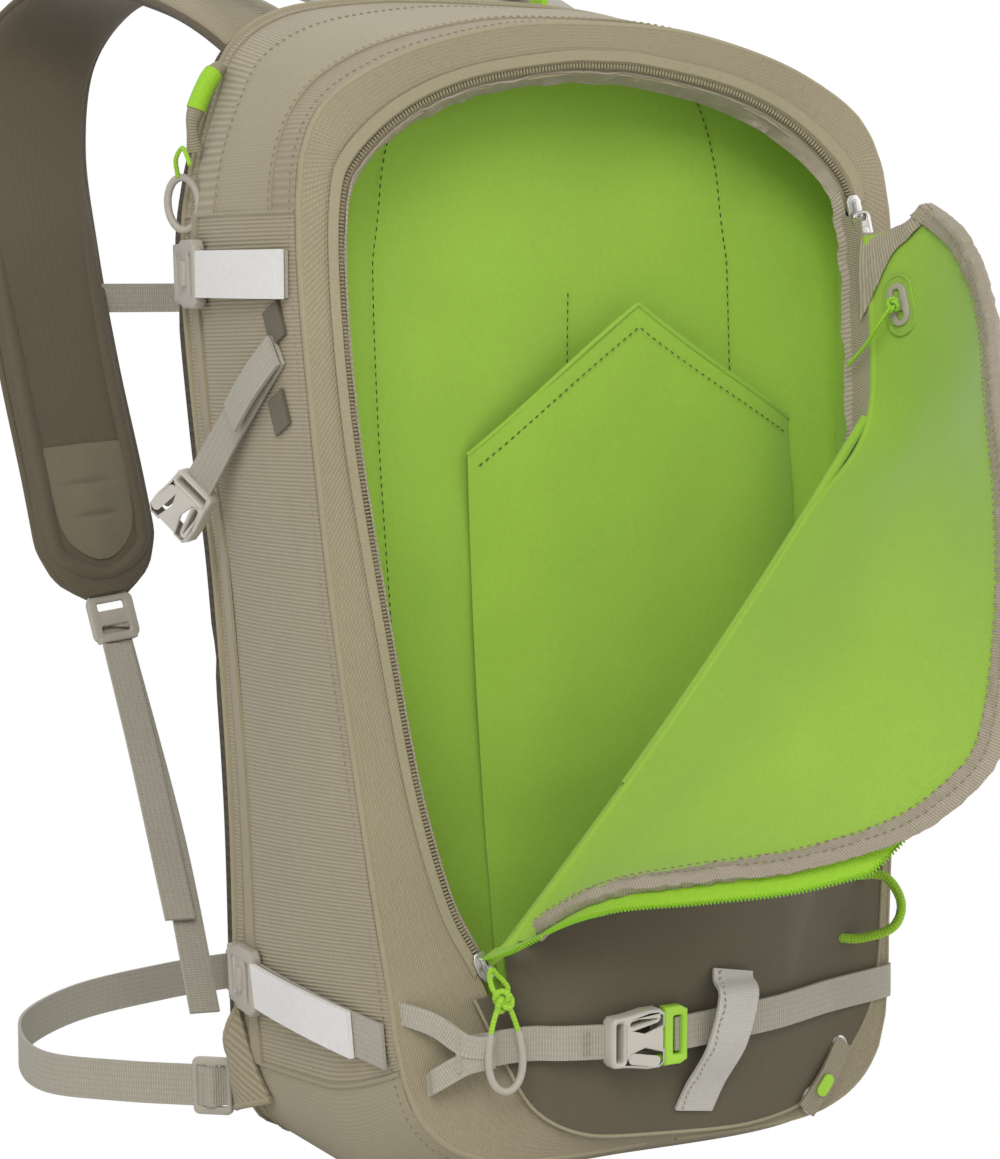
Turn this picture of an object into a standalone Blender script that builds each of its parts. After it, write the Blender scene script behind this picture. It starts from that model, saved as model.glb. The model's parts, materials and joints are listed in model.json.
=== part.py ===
"""Ski backpack of about 30 litres: metres, +Z up, front pocket towards -Y, wearer's back towards +Y.

The pack stands on its base with the front pocket unzipped and its flap folded open.
"""

import math

import bmesh
import bpy
from mathutils import Matrix, Vector

# Body
BACK_Y = 0.090
BACK_HALF_WIDTH = 0.145
BACK_HEIGHT = 0.535
SEAM_HALF_WIDTH = 0.152
SEAM_BOTTOM = 0.024
SEAM_TOP = BACK_HEIGHT - 0.018
SEAM_Y_TOP = -0.036
SEAM_Y_FALL = 0.055
SIDE_BULGE = 0.004
FOOT_SHARE = 0.60
FOOT_FADE = 0.06
PANEL = 0.002
GAP = 0.0005
ROW_CROWDING = 1.7
BASE_TOP = 0.046
SIDE_TOP = BACK_HEIGHT - 0.101

# Front pocket
ZIP_HALF_WIDTH = 0.137
ZIP_BOTTOM = 0.033
ZIP_TOP = BACK_HEIGHT - 0.032
ZIP_Y_TOP = -0.040
ZIP_Y_FALL = 0.058
CHAIN_RADIUS = 0.0014
CHAIN_INSET = CHAIN_RADIUS + 0.0018
PANEL_INSET = 2 * CHAIN_INSET
RIM_STEP = PANEL / 2 + 0.0008
POCKET_SHARE = 0.74
POCKET_DEPTH = 0.026
DIVIDER_BOTTOM = 0.052
DIVIDER_SEAT = 0.0009
DIVIDER_TOP = BACK_HEIGHT - 0.029
DIVIDER_DOME_CLEAR = 0.0035
DOME_BLEND = 0.020
SLEEVE_SEAT = 0.0012
SLIDER_LEFT_Z = 0.110
SLIDER_RIGHT_Z = 0.440
SLIDER_LENGTH = 0.013
SLIDER_WIDTH = 0.007
SLIDER_THICK = 0.003
PULL_LENGTH = 0.017
PULL_WIDTH = 0.010
PULL_THICK = 0.0022
PULL_HANG = 0.002
LOOP_DROP = 0.050
LOOP_HALF = 0.0115
LOOP_STANDOFF = 0.016
LOOP_RADIUS = 0.0014
METAL_EDGE = 0.0008
GROMMET_U = 0.91
GROMMET_W = 0.30
GROMMET_LENGTH = 0.020
GROMMET_WIDTH = 0.012
GROMMET_THICK = 0.0016
GROMMET_HOLE = 0.005
GROMMET_LIFT = 0.0014
FOLD_RIGHT_Z = 0.346
FRONT_BULGE = 0.018
FOLD_BULGE = 0.009
FOLD_STEP = 0.0034
FLAP_CUT = 0.0012
FOLD_SHARE = 0.22
SLEEVE_LEFT = -0.046
SLEEVE_RIGHT = 0.120
SLEEVE_BOTTOM = 0.090
SLEEVE_LEFT_EDGE = 0.326
SLEEVE_RIGHT_EDGE = 0.340
SLEEVE_PEAK = 0.394
SLEEVE_STANDOFF = 0.014

# Back and harness
BACK_PAD = 0.012
BACK_CROWN = 0.004
BACK_PAD_EDGE = 0.006
FRAME_SHEET = 0.0015
FRAME_SHEET_EDGE = 0.014
FRAME_SHEET_INSET = 0.008
HAUL_WIDTH = 0.012
HAUL_THICK = 0.003
HARNESS_WIDTH = 0.062
HARNESS_THICK = 0.013
PAD_END = 0.06
LADDER_LENGTH = 0.024
LADDER_WIDTH = 0.025
LIFTER_LENGTH = 0.022
LIFTER_WIDTH = 0.022
LIFTER_SHARE = 0.285
LIFTER_X = 0.064
WEB_SAG = Vector((0, -0.012, -0.006))
GLIDE_LENGTH = 0.020
GLIDE_HEIGHT = 0.028
HIP_BUCKLE_LENGTH = 0.042
HIP_BUCKLE_HEIGHT = 0.031
WING_BOW = 0.006
BELT_WIDTH = 0.020
WEB_WIDTH = 0.015
WEB = 0.0016
LOCK = 0.004
WING_FRONT = 0.056
WING_RAKE = 0.030
WING_BOTTOM = 0.024
WING_HEIGHT = 0.038
WEB_ANCHOR = Vector((0.0115 - BACK_HALF_WIDTH, 0.1045, 0.056))
STERNUM_Z = BACK_HEIGHT - 0.140
STERNUM_Y = 0.290
STERNUM_BUCKLE = 0.040
STERNUM_REACH = 0.1082
HAUL_HALF = 0.045
HAUL_RISE = 0.030
HAUL_SEAT = 0.0013
SIDE_LOOP_RADIUS = 0.0048
SIDE_LOOP_Y = 0.076
SIDE_LOOP_TOP = BACK_HEIGHT - 0.035
SIDE_LOOP_DROP = 0.038
SIDE_LOOP_SEAT = 0.0042
SIDE_LOOP_PUFF = 0.0052
MAIN_PULL_Y = 0.078
MAIN_PULL_TOP = BACK_HEIGHT - 0.083
MAIN_PULL_WIDTH = 0.018
MAIN_PULL_HEIGHT = 0.026
MAIN_PULL_RADIUS = 0.0016
MAIN_PULL_SEAT = 0.0064

# Straps on the body
SKI_UPPER_Z = BACK_HEIGHT - 0.127
SKI_LOWER_Z = 0.080
SKI_LOOP_BACK = 0.050
SKI_BUCKLE_LENGTH = 0.034
SKI_BUCKLE_HEIGHT = 0.031
SKI_BUCKLE_THICK = 0.006
FRONT_STRAP_Z = 0.079
FRONT_STRAP_RIGHT_Z = 0.082
FEMALE_LEFT_X = -0.042
BUCKLE_LENGTH = 0.027
BUCKLE_WIDTH = 0.026
BUCKLE_THICK = 0.010
BUCKLE_WALL = 0.002
TONGUE_CLEAR = 0.0006
MALE_BASE = 0.012
KEEPER_WIDTH = 0.020
KEEPER_TOP = Vector((0.024, 0, 0.1035))
KEEPER_BOTTOM = Vector((0.012, 0, 0.039))
KEEPER_EDGE = 0.0006
KEEPER_CLEAR = 0.0036
KEEPER_RISE = 0.0024
STRAP_SEAT = 0.0006
STRAP_LIFT = 0.0024
SIDE_SEAT = 0.0008
BUCKLE_SEAT = 0.0026
HAIR = 0.0004
BUCKLE_EDGE = 0.0016
BUCKLE_ARM = 0.005
ANCHOR_INSET = 0.011
ANCHOR_LIFT = 0.0065
STRAP_BRIDGE_X = -0.098
STRAP_BRIDGE_Y = -0.1045
SKI_LOOP_FRONT = 0.006
SLOT = 0.004
SLOT_CORNER = 0.001
AXE_LOOP_HIGH = 0.138
AXE_LOOP_LOW = 0.112
AXE_LOOP_RADIUS = 0.0022
AXE_LOOP_REACH = 0.018
AXE_LOOP_SHIFT = 0.010
COMPRESSION_Y = -0.030
COMPRESSION_Z = BACK_HEIGHT - 0.159
COMPRESSION_DROP = Vector((0, 0.080, -0.060))
COMPRESSION_TURN = 0.8

# Half outlines from bottom centre to top centre, as shares of half width and height
BACK_OUTLINE = [
    (0, 0), (0.60, 0), (0.745, 0.010), (0.82, 0.05), (0.835, 0.12), (0.85, 0.30), (0.90, 0.50),
    (0.955, 0.62), (1.0, 0.765), (0.975, 0.84), (0.90, 0.912), (0.83, 0.956), (0.66, 0.985),
    (0.35, 0.998), (0, 1.0),
]
SEAM_OUTLINE = [
    (0, 0), (0.45, 0), (0.66, 0.016), (0.78, 0.05), (0.83, 0.10), (0.85, 0.16), (0.895, 0.286),
    (0.96, 0.50), (1.0, 0.732), (1.0, 0.83), (0.98, 0.878), (0.915, 0.919), (0.78, 0.949),
    (0.58, 0.975), (0.28, 0.996), (0, 1.0),
]
ZIP_OUTLINE = [
    (0, 0), (0.28, 0.006), (0.47, 0.04), (0.57, 0.10), (0.657, 0.166), (0.752, 0.223),
    (0.84, 0.326), (0.905, 0.46), (0.978, 0.64), (1.0, 0.774), (0.985, 0.862), (0.927, 0.905),
    (0.737, 0.951), (0.489, 0.981), (0.16, 0.998), (0, 1.0),
]

# Free edge of the open flap, from the left slider round to the right slider
FLAP_EDGE = [
    Vector((-0.084, -0.108, 0.122)), Vector((-0.080, -0.117, 0.133)), Vector((-0.062, -0.146, 0.152)),
    Vector((-0.036, -0.180, 0.161)), Vector((-0.008, -0.212, 0.169)), Vector((0.017, -0.245, 0.184)),
    Vector((0.034, -0.262, 0.201)), Vector((0.047, -0.270, 0.223)), Vector((0.060, -0.262, 0.271)),
    Vector((0.075, -0.240, 0.317)), Vector((0.095, -0.205, 0.360)), Vector((0.120, -0.165, 0.397)),
    Vector((0.137, -0.125, 0.425)), Vector((0.149, -0.080, 0.440)), Vector((0.150, -0.066, 0.441)),
]

# Centre line of the left shoulder pad, from the yoke to its lower end
PAD_LINE = [
    Vector((-0.062, 0.1112, BACK_HEIGHT - 0.061)), Vector((-0.072, 0.140, BACK_HEIGHT - 0.023)),
    Vector((-0.085, 0.185, BACK_HEIGHT + 0.002)), Vector((-0.100, 0.245, BACK_HEIGHT + 0.018)),
    Vector((-0.112, 0.300, BACK_HEIGHT + 0.015)), Vector((-0.125, 0.335, BACK_HEIGHT - 0.013)),
    Vector((-0.133, 0.332, BACK_HEIGHT - 0.061)), Vector((-0.139, 0.300, BACK_HEIGHT - 0.115)),
    Vector((-0.138, 0.275, BACK_HEIGHT - 0.175)), Vector((-0.134, 0.255, BACK_HEIGHT - 0.229)),
    Vector((-0.130, 0.243, BACK_HEIGHT - 0.273)), Vector((-0.128, 0.238, BACK_HEIGHT - 0.290)),
]

# Centre line of the left half of the hip belt, from the pack's corner to the buckle
BELT_LINE = [
    Vector((0.007 - BACK_HALF_WIDTH, 0.110, 0.020)), Vector((-0.018 - BACK_HALF_WIDTH, 0.136, 0.019)),
    Vector((-0.043 - BACK_HALF_WIDTH, 0.172, 0.018)), Vector((-0.041 - BACK_HALF_WIDTH, 0.215, 0.018)),
    Vector((-0.020 - BACK_HALF_WIDTH, 0.262, 0.018)), Vector((0.025 - BACK_HALF_WIDTH, 0.303, 0.018)),
    Vector((-0.060, 0.325, 0.018)), Vector((-0.0215, 0.331, 0.018)),
]

TAN = (0.352, 0.296, 0.195)
DARK = (0.117, 0.098, 0.061)
LIME = (0.292, 0.479, 0.050)
BRIGHT_LIME = (0.376, 0.679, 0.045)
GREY = (0.402, 0.366, 0.305)
PALE = (0.578, 0.552, 0.485)
WHITE = (0.753, 0.730, 0.716)
MESH_BROWN = (0.075, 0.060, 0.042)
HARNESS_BROWN = (0.114, 0.093, 0.061)
SHEET_BLACK = (0.02, 0.02, 0.02)

X = Vector((1, 0, 0))
Y = Vector((0, 1, 0))
Z = Vector((0, 0, 1))


def clear_scene():
    for obj in list(bpy.data.objects):
        bpy.data.objects.remove(obj)


def make_collection(name):
    found = bpy.data.collections.new(name)
    bpy.context.scene.collection.children.link(found)
    return found


def finish_material(name, colour, roughness):
    material = bpy.data.materials.new(name)
    material.use_nodes = True
    shader = material.node_tree.nodes["Principled BSDF"]
    shader.inputs["Base Color"].default_value = (*colour, 1)
    shader.inputs["Roughness"].default_value = roughness
    shader.inputs["Metallic"].default_value = 0
    return material


def add_object(name, data, colour, roughness=0.8, place=None):
    obj = bpy.data.objects.new(name, data)
    data.materials.append(finish_material(name, colour, roughness))
    PARTS.objects.link(obj)
    if place is not None:
        obj.matrix_world = place
    return obj


def mirrored(point):
    return Vector((-point.x, point.y, point.z))


def through(points, t):
    """A smooth curve through the points, at a share t of its length in steps."""
    last = len(points) - 1
    at = min(max(t, 0), 1) * last
    i = min(int(at), last - 1)
    f = at - i
    p0, p1, p2, p3 = (points[min(max(k, 0), last)] for k in (i - 1, i, i + 1, i + 2))
    return 0.5 * (
        2 * p1 + (p2 - p0) * f + (2 * p0 - 5 * p1 + 4 * p2 - p3) * f**2
        + (3 * p1 - p0 - 3 * p2 + p3) * f**3
    )


class Route:
    """A smooth curve through a few points, read at even lengths."""

    def __init__(self, points, steps=120):
        self.places = [through(points, i / steps) for i in range(steps + 1)]
        self.run = [0.0]
        for a, b in zip(self.places, self.places[1:]):
            self.run.append(self.run[-1] + (b - a).length)

    def at(self, share):
        want = min(max(share, 0), 1) * self.run[-1]
        for i in range(1, len(self.run)):
            if self.run[i] >= want:
                step = self.run[i] - self.run[i - 1]
                f = (want - self.run[i - 1]) / step if step else 0
                return self.places[i - 1].lerp(self.places[i], f)
        return self.places[-1]

    def along(self, share):
        return (self.at(share + 0.01) - self.at(share - 0.01)).normalized()


def outline(shares):
    return Route([Vector((x, 0, z)) for x, z in shares])


BACK_LINE = outline(BACK_OUTLINE)
SEAM_LINE = outline(SEAM_OUTLINE)
ZIP_LINE = outline(ZIP_OUTLINE)


def back_point(s):
    share = BACK_LINE.at(s)
    return Vector((share.x * BACK_HALF_WIDTH, BACK_Y, share.z * BACK_HEIGHT))


def seam_point(s):
    share = SEAM_LINE.at(s)
    z = SEAM_BOTTOM + share.z * (SEAM_TOP - SEAM_BOTTOM)
    return Vector((share.x * SEAM_HALF_WIDTH, SEAM_Y_TOP - SEAM_Y_FALL * max(0, 1 - share.z) ** 1.1, z))


def zip_point(s, inset=0.0):
    """The zip loop on the right half, or a loop that lies inset inside it."""
    share = ZIP_LINE.at(s)
    bottom = ZIP_BOTTOM + inset
    z = bottom + share.z * (ZIP_TOP - inset - bottom)
    y = ZIP_Y_TOP - ZIP_Y_FALL * max(0, 1 - share.z) ** 1.15
    return Vector((share.x * (ZIP_HALF_WIDTH - inset), y, z))


def share_at_height(curve, z):
    low, high = 0.0, 1.0
    for _ in range(40):
        middle = (low + high) / 2
        if curve(middle).z < z:
            low = middle
        else:
            high = middle
    return (low + high) / 2


def on_side(point, side):
    return point if side > 0 else mirrored(point)


def tunnel(s, v, side=1):
    """Middle of the fabric that runs from the back edge (v = 0) to the front seam (v = 1)."""
    back, seam = back_point(s), seam_point(s)
    flat = min(max(1 - back.z / FOOT_FADE, 0), 1)
    rise = max(0, (v - FOOT_SHARE) / (1 - FOOT_SHARE)) ** 1.5
    lift = v * (1 - flat) + rise * flat
    swell = SIDE_BULGE * math.sin(math.pi * v) * (1 - flat)
    place = Vector((
        back.x + (seam.x - back.x) * v + swell * back.x / BACK_HALF_WIDTH,
        back.y + (seam.y - back.y) * v,
        back.z + (seam.z - back.z) * lift + PANEL / 2,
    ))
    return on_side(place, side)


def side_frame(y, z, side):
    """Point on the outside of a side panel, with the direction out of it."""
    low, high = 0.0, 1.0
    for _ in range(40):
        s = (low + high) / 2
        v = min(max((BACK_Y - y) / (BACK_Y - seam_point(s).y), 0), 1)
        if tunnel(s, v).z < z:
            low = s
        else:
            high = s
    here = tunnel(s, v)
    out = (tunnel(s, min(v + 0.02, 1)) - tunnel(s, v - 0.02)).cross(tunnel(s + 0.01, v) - tunnel(s - 0.01, v))
    out.normalize()
    if out.x < 0:
        out = -out
    return on_side(here + out * PANEL / 2, side), on_side(out, side)


def sheet(name, columns, rows, place, thickness, colour, roughness=0.8):
    """An open grid laid on a surface, thickened about its middle."""
    bm = bmesh.new()
    bmesh.ops.create_grid(bm, x_segments=columns, y_segments=rows, size=0.5)
    for vert in bm.verts:
        vert.co = place(vert.co.x + 0.5, vert.co.y + 0.5)
    mesh = bpy.data.meshes.new(name)
    bm.to_mesh(mesh)
    bm.free()
    obj = add_object(name, mesh, colour, roughness)
    wall = obj.modifiers.new("Thickness", "SOLIDIFY")
    wall.thickness = thickness
    wall.offset = 0
    return obj


def strap(name, points, width, thickness, across, colour, segments=12, rows=1):
    """Flat webbing along a route; across gives its width direction, as a vector or per share."""
    route = Route(points)

    def place(u, w):
        wide = across(u) if callable(across) else across
        along = route.along(u)
        wide = (wide - along * wide.dot(along)).normalized()
        return route.at(u) + wide * (w - 0.5) * width

    return sheet(name, segments, rows, place, thickness, colour)


def tube(name, points, radius, colour, resolution=1, closed=False):
    curve = bpy.data.curves.new(name, "CURVE")
    curve.dimensions = "3D"
    curve.bevel_depth = radius
    curve.bevel_resolution = resolution
    curve.use_fill_caps = True
    spline = curve.splines.new("POLY")
    spline.points.add(len(points) - 1)
    for point, place in zip(spline.points, points):
        point.co = (*place, 1)
    spline.use_cyclic_u = closed
    return add_object(name, curve, colour, 0.5)


def frame_matrix(origin, along, out):
    """Local X along, local Z out of the face, at the origin given."""
    along = (along - out * along.dot(out)).normalized()
    turn = Matrix((along, out.cross(along), out)).transposed().to_4x4()
    return Matrix.Translation(origin) @ turn


def plate(name, outlines, thickness, place, colour):
    """A flat moulded plate; the outlines after the first are its slots."""
    curve = bpy.data.curves.new(name, "CURVE")
    curve.dimensions = "2D"
    curve.fill_mode = "BOTH"
    curve.extrude = thickness / 2
    for points in outlines:
        spline = curve.splines.new("POLY")
        spline.points.add(len(points) - 1)
        for point, (x, y) in zip(spline.points, points):
            point.co = (x, y, 0, 1)
        spline.use_cyclic_u = True
    return add_object(name, curve, colour, 0.45, place)


def rounded(width, height, corner, centre=(0, 0), steps=2):
    """Corner-rounded rectangle as a list of points."""
    points = []
    for turn, (sx, sy) in enumerate(((1, 1), (-1, 1), (-1, -1), (1, -1))):
        for step in range(steps + 1):
            angle = (turn + step / steps) * math.pi / 2
            points.append((
                centre[0] + sx * (width / 2 - corner) + corner * math.cos(angle),
                centre[1] + sy * (height / 2 - corner) + corner * math.sin(angle),
            ))
    return points


def box(name, size, place, colour, bevel, cutters=()):
    """A moulded block with rounded edges and any pockets cut from it."""
    bm = bmesh.new()
    bmesh.ops.create_cube(bm, size=1)
    bmesh.ops.scale(bm, vec=size, verts=bm.verts)
    mesh = bpy.data.meshes.new(name)
    bm.to_mesh(mesh)
    bm.free()
    obj = add_object(name, mesh, colour, 0.45, place)
    edge = obj.modifiers.new("Edges", "BEVEL")
    edge.width = bevel
    edge.segments = 2
    for number, (cut_size, cut_place) in enumerate(cutters):
        cut = obj.modifiers.new(f"Pocket {number}", "BOOLEAN")
        cut.object = cutter(f"{name}_pocket_{number}", cut_size, place @ Matrix.Translation(cut_place))
    return obj


def cutter(name, size, place):
    bm = bmesh.new()
    bmesh.ops.create_cube(bm, size=1)
    bmesh.ops.scale(bm, vec=size, verts=bm.verts)
    mesh = bpy.data.meshes.new(name)
    bm.to_mesh(mesh)
    bm.free()
    obj = bpy.data.objects.new(name, mesh)
    CUTTERS.objects.link(obj)
    obj.matrix_world = place
    obj.hide_render = True
    obj.display_type = "WIRE"
    return obj


def swept(name, route, rings, sides, section, colour):
    """A soft round-edged form: section(t, angle) gives each ring's offset across and through it."""
    bm = bmesh.new()
    bmesh.ops.create_cone(bm, cap_ends=True, segments=sides, radius1=1, radius2=1, depth=1)
    rails = [e for e in bm.edges if abs(e.verts[0].co.z - e.verts[1].co.z) > 0.5]
    bmesh.ops.subdivide_edges(bm, edges=rails, cuts=rings - 1, use_grid_fill=True)
    for vert in bm.verts:
        t = vert.co.z + 0.5
        angle = math.atan2(vert.co.y, vert.co.x)
        along = route.along(t)
        wide = (X - along * along.x).normalized()
        thick = along.cross(wide)
        a, b = section(t, angle)
        vert.co = route.at(t) + wide * a + thick * b
    bmesh.ops.recalc_face_normals(bm, faces=bm.faces)
    if bm.calc_volume(signed=True) < 0:
        bmesh.ops.reverse_faces(bm, faces=bm.faces)
    mesh = bpy.data.meshes.new(name)
    bm.to_mesh(mesh)
    bm.free()
    mesh.shade_smooth()
    return add_object(name, mesh, colour, 0.9)


def pivot(name, place, pieces):
    """An empty on a joint's axis, carrying the pieces that move about it."""
    empty = bpy.data.objects.new(name, None)
    PARTS.objects.link(empty)
    empty.location = place
    bpy.context.view_layer.update()
    for piece in pieces:
        piece.parent = empty
        piece.matrix_parent_inverse = empty.matrix_world.inverted()
    return empty


# Places that several pieces share
LEFT_END = mirrored(zip_point(share_at_height(zip_point, SLIDER_LEFT_Z), CHAIN_INSET))
RIGHT_END = zip_point(share_at_height(zip_point, SLIDER_RIGHT_Z), CHAIN_INSET)
FOLD_RIGHT = zip_point(share_at_height(zip_point, FOLD_RIGHT_Z), PANEL_INSET) + Vector((0, -0.008, 0))
FOLD_LEFT = mirrored(zip_point(share_at_height(zip_point, SLIDER_LEFT_Z), PANEL_INSET)) + Vector((0, -0.006, 0))
FOLD_TOP = RIGHT_END + Vector((-0.002, -0.010, 0))


def signed_loop(curve, t):
    """A loop point from a signed share: negative on the left half."""
    return on_side(curve(abs(t)), 1 if t >= 0 else -1)


def body_panels():
    low = share_at_height(lambda s: tunnel(s, 0.5), BASE_TOP)
    high = share_at_height(lambda s: tunnel(s, 0.5), SIDE_TOP)
    trim = GAP / 2 / BACK_HEIGHT * 1.2
    for side, name in ((-1, "left_side_panel"), (1, "right_side_panel")):
        def side_place(u, w, side=side):
            return tunnel(low + trim + (high - low - 2 * trim) * u, w, side)

        sheet(name, 11, 6, side_place, PANEL, TAN)

    def top_place(u, w):
        t = (2 * u - 1) * (1 - high - trim)
        return tunnel(1 - abs(t), w, 1 if t >= 0 else -1)

    sheet("top_panel", 24, 6, top_place, PANEL, TAN)

    def base_place(u, w):
        t = (2 * u - 1) * (low - trim)
        return tunnel(abs(t), w, 1 if t >= 0 else -1)

    sheet("base_panel", 18, 8, base_place, PANEL, TAN)


def front_rim():
    """The tan strip between the front seam and the zip, round the whole pocket."""
    slit = 0.001

    def place(u, w):
        t = slit + (1 - slit) * u * 2 if u <= 0.5 else slit + (1 - slit) * (1 - u) * 2
        side = 1 if u <= 0.5 else -1
        outer = seam_point(t) + Vector((0, -RIM_STEP, PANEL / 2))
        inner = zip_point(t)
        return on_side(outer.lerp(inner, w), side)

    sheet("front_rim", 52, 1, place, PANEL, TAN)


def row_height(low, high, w):
    """Heights of a wall's rows, closer together under the domed top."""
    return low + (high - low) * (1 - (1 - w) ** ROW_CROWDING)


def wall_point(f, z, share, inset, depth):
    """Point on a wall that crosses the body at a share of its depth, f from -1 (left) to 1 (right)."""
    s = share_at_height(lambda s: tunnel(s, share), z)
    edge = tunnel(s, share)
    slope = tunnel(s + 0.004, share) - tunnel(s - 0.004, share)
    inset *= slope.length / max(slope.z, 1e-4)
    bow = (1 - f * f) * math.sin(math.pi * z / SEAM_TOP) ** 0.7
    return Vector(((edge.x - inset) * f, edge.y + depth * bow, z))


def divider_point(f, z):
    """The pocket's rear wall, drawn further in under the domed top."""
    dome = min(max((z - SIDE_TOP + DOME_BLEND) / DOME_BLEND, 0), 1)
    return wall_point(f, z, POCKET_SHARE, PANEL / 2 + DIVIDER_SEAT + DIVIDER_DOME_CLEAR * dome, POCKET_DEPTH)


def pocket():
    def place(u, w):
        return divider_point(2 * u - 1, row_height(DIVIDER_BOTTOM, DIVIDER_TOP, w))

    sheet("pocket_divider", 10, 12, place, PANEL, LIME)

    def sleeve(u, w):
        x = SLEEVE_LEFT + (SLEEVE_RIGHT - SLEEVE_LEFT) * u
        low = SLEEVE_LEFT_EDGE + (SLEEVE_RIGHT_EDGE - SLEEVE_LEFT_EDGE) * u
        top = low + (SLEEVE_PEAK - low) * max(0, 1 - abs(2 * u - 1))
        z = SLEEVE_BOTTOM + (top - SLEEVE_BOTTOM) * w
        puff = (1 - (2 * u - 1) ** 4) * min(1, w * 3)
        wall = divider_point(x / divider_point(1, z).x, z)
        return wall - Y * (PANEL + SLEEVE_SEAT + SLEEVE_STANDOFF * puff)

    sheet("tool_sleeve", 12, 5, sleeve, PANEL, LIME)


PANEL_START = -share_at_height(zip_point, SLIDER_LEFT_Z)
PANEL_END = share_at_height(zip_point, FOLD_RIGHT_Z)


def fold_point(u):
    """The straight fold between the open flap and the lower front panel, bowed a little outwards."""
    return FOLD_LEFT.lerp(FOLD_RIGHT, u) - Y * FOLD_BULGE * math.sin(math.pi * u)


def panel_point(u, w):
    """Closed lower front panel: w = 0 on the fold, w = 1 at the zip and the base."""
    u = 0.03 + 0.94 * u
    fold = fold_point(u)
    t = PANEL_START + (PANEL_END - PANEL_START) * u
    edge = signed_loop(lambda s: zip_point(s, PANEL_INSET), t)
    place = fold.lerp(edge, w)
    full = math.sin(math.pi * u) ** 0.8 * math.sin(math.pi * w) ** 0.8
    place.y -= FRONT_BULGE * full
    return place


PANEL_SAMPLES = [panel_point(i / 60, j / 40) for i in range(61) for j in range(41)]


def front_at(x, z, out):
    """Point at a distance out of the front, above the panel or the rim at this x and z."""
    nearest = sorted(PANEL_SAMPLES, key=lambda p: (p.x - x) ** 2 + (p.z - z) ** 2)[:4]
    y = sum(p.y for p in nearest) / len(nearest)
    return Vector((x, y - PANEL / 2 - out, z))


FOLD_ROUTE = Route([fold_point(i / 5) for i in range(6)] + [FOLD_TOP])
FREE_ROUTE = Route(FLAP_EDGE)


def flap_point(u, w):
    """Open flap: w = 0 on the fold, w = 1 at its free edge."""
    u = 0.03 + 0.94 * u
    fold = FOLD_ROUTE.at(u) - Y * FOLD_STEP
    edge = FREE_ROUTE.at(u)
    reach = (edge - fold).length
    bend = fold + Vector((0.010, -0.38 * reach, 0.0))
    return (1 - w) ** 2 * fold + 2 * w * (1 - w) * bend + w * w * edge


def flap_out(u, w):
    """Direction out of the flap's lining."""
    along = flap_point(u + 0.02, w) - flap_point(u - 0.02, w)
    out = along.cross(flap_point(u, w + 0.02) - flap_point(u, w - 0.02)).normalized()
    return out if out.x < 0 else -out


def front_flap():
    sheet("front_panel", 18, 6, panel_point, PANEL, DARK)

    def fold_place(u, w):
        reach = (flap_point(u, 1) - flap_point(u, 0)).length
        return flap_point(u, w * (FOLD_SHARE - FLAP_CUT / reach))

    sheet("flap_fold", 16, 3, fold_place, PANEL, LIME)

    def flap_place(u, w):
        return flap_point(u, FOLD_SHARE + (1 - FOLD_SHARE) * w)

    flap = sheet("front_flap", 18, 6, flap_place, PANEL, LIME)

    def edge_point(u):
        edge = flap_point(u, 1)
        return edge + (edge - flap_point(u, 0.94)).normalized() * (CHAIN_RADIUS + STRAP_SEAT)

    places = [edge_point(0.05 + 0.90 * i / 36) for i in range(37)]
    chain = tube("zip_chain_flap", places, CHAIN_RADIUS, BRIGHT_LIME, 0)
    at, out = flap_point(GROMMET_U, GROMMET_W), flap_out(GROMMET_U, GROMMET_W)
    long = flap_point(GROMMET_U + 0.02, GROMMET_W) - flap_point(GROMMET_U - 0.02, GROMMET_W)
    ring = rounded(GROMMET_LENGTH, GROMMET_WIDTH, GROMMET_WIDTH * 0.45, steps=3)
    holes = []
    for x in (-0.25, 0.25):
        holes.append(rounded(GROMMET_HOLE, GROMMET_HOLE, GROMMET_HOLE * 0.48, (GROMMET_LENGTH * x, 0)))
    grommet = plate("flap_grommet", [ring] + holes, GROMMET_THICK,
                    frame_matrix(at + out * (PANEL / 2 + GROMMET_LIFT), long, out), GREY)
    pivot("flap_hinge", LEFT_END, [flap, chain, grommet])


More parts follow.
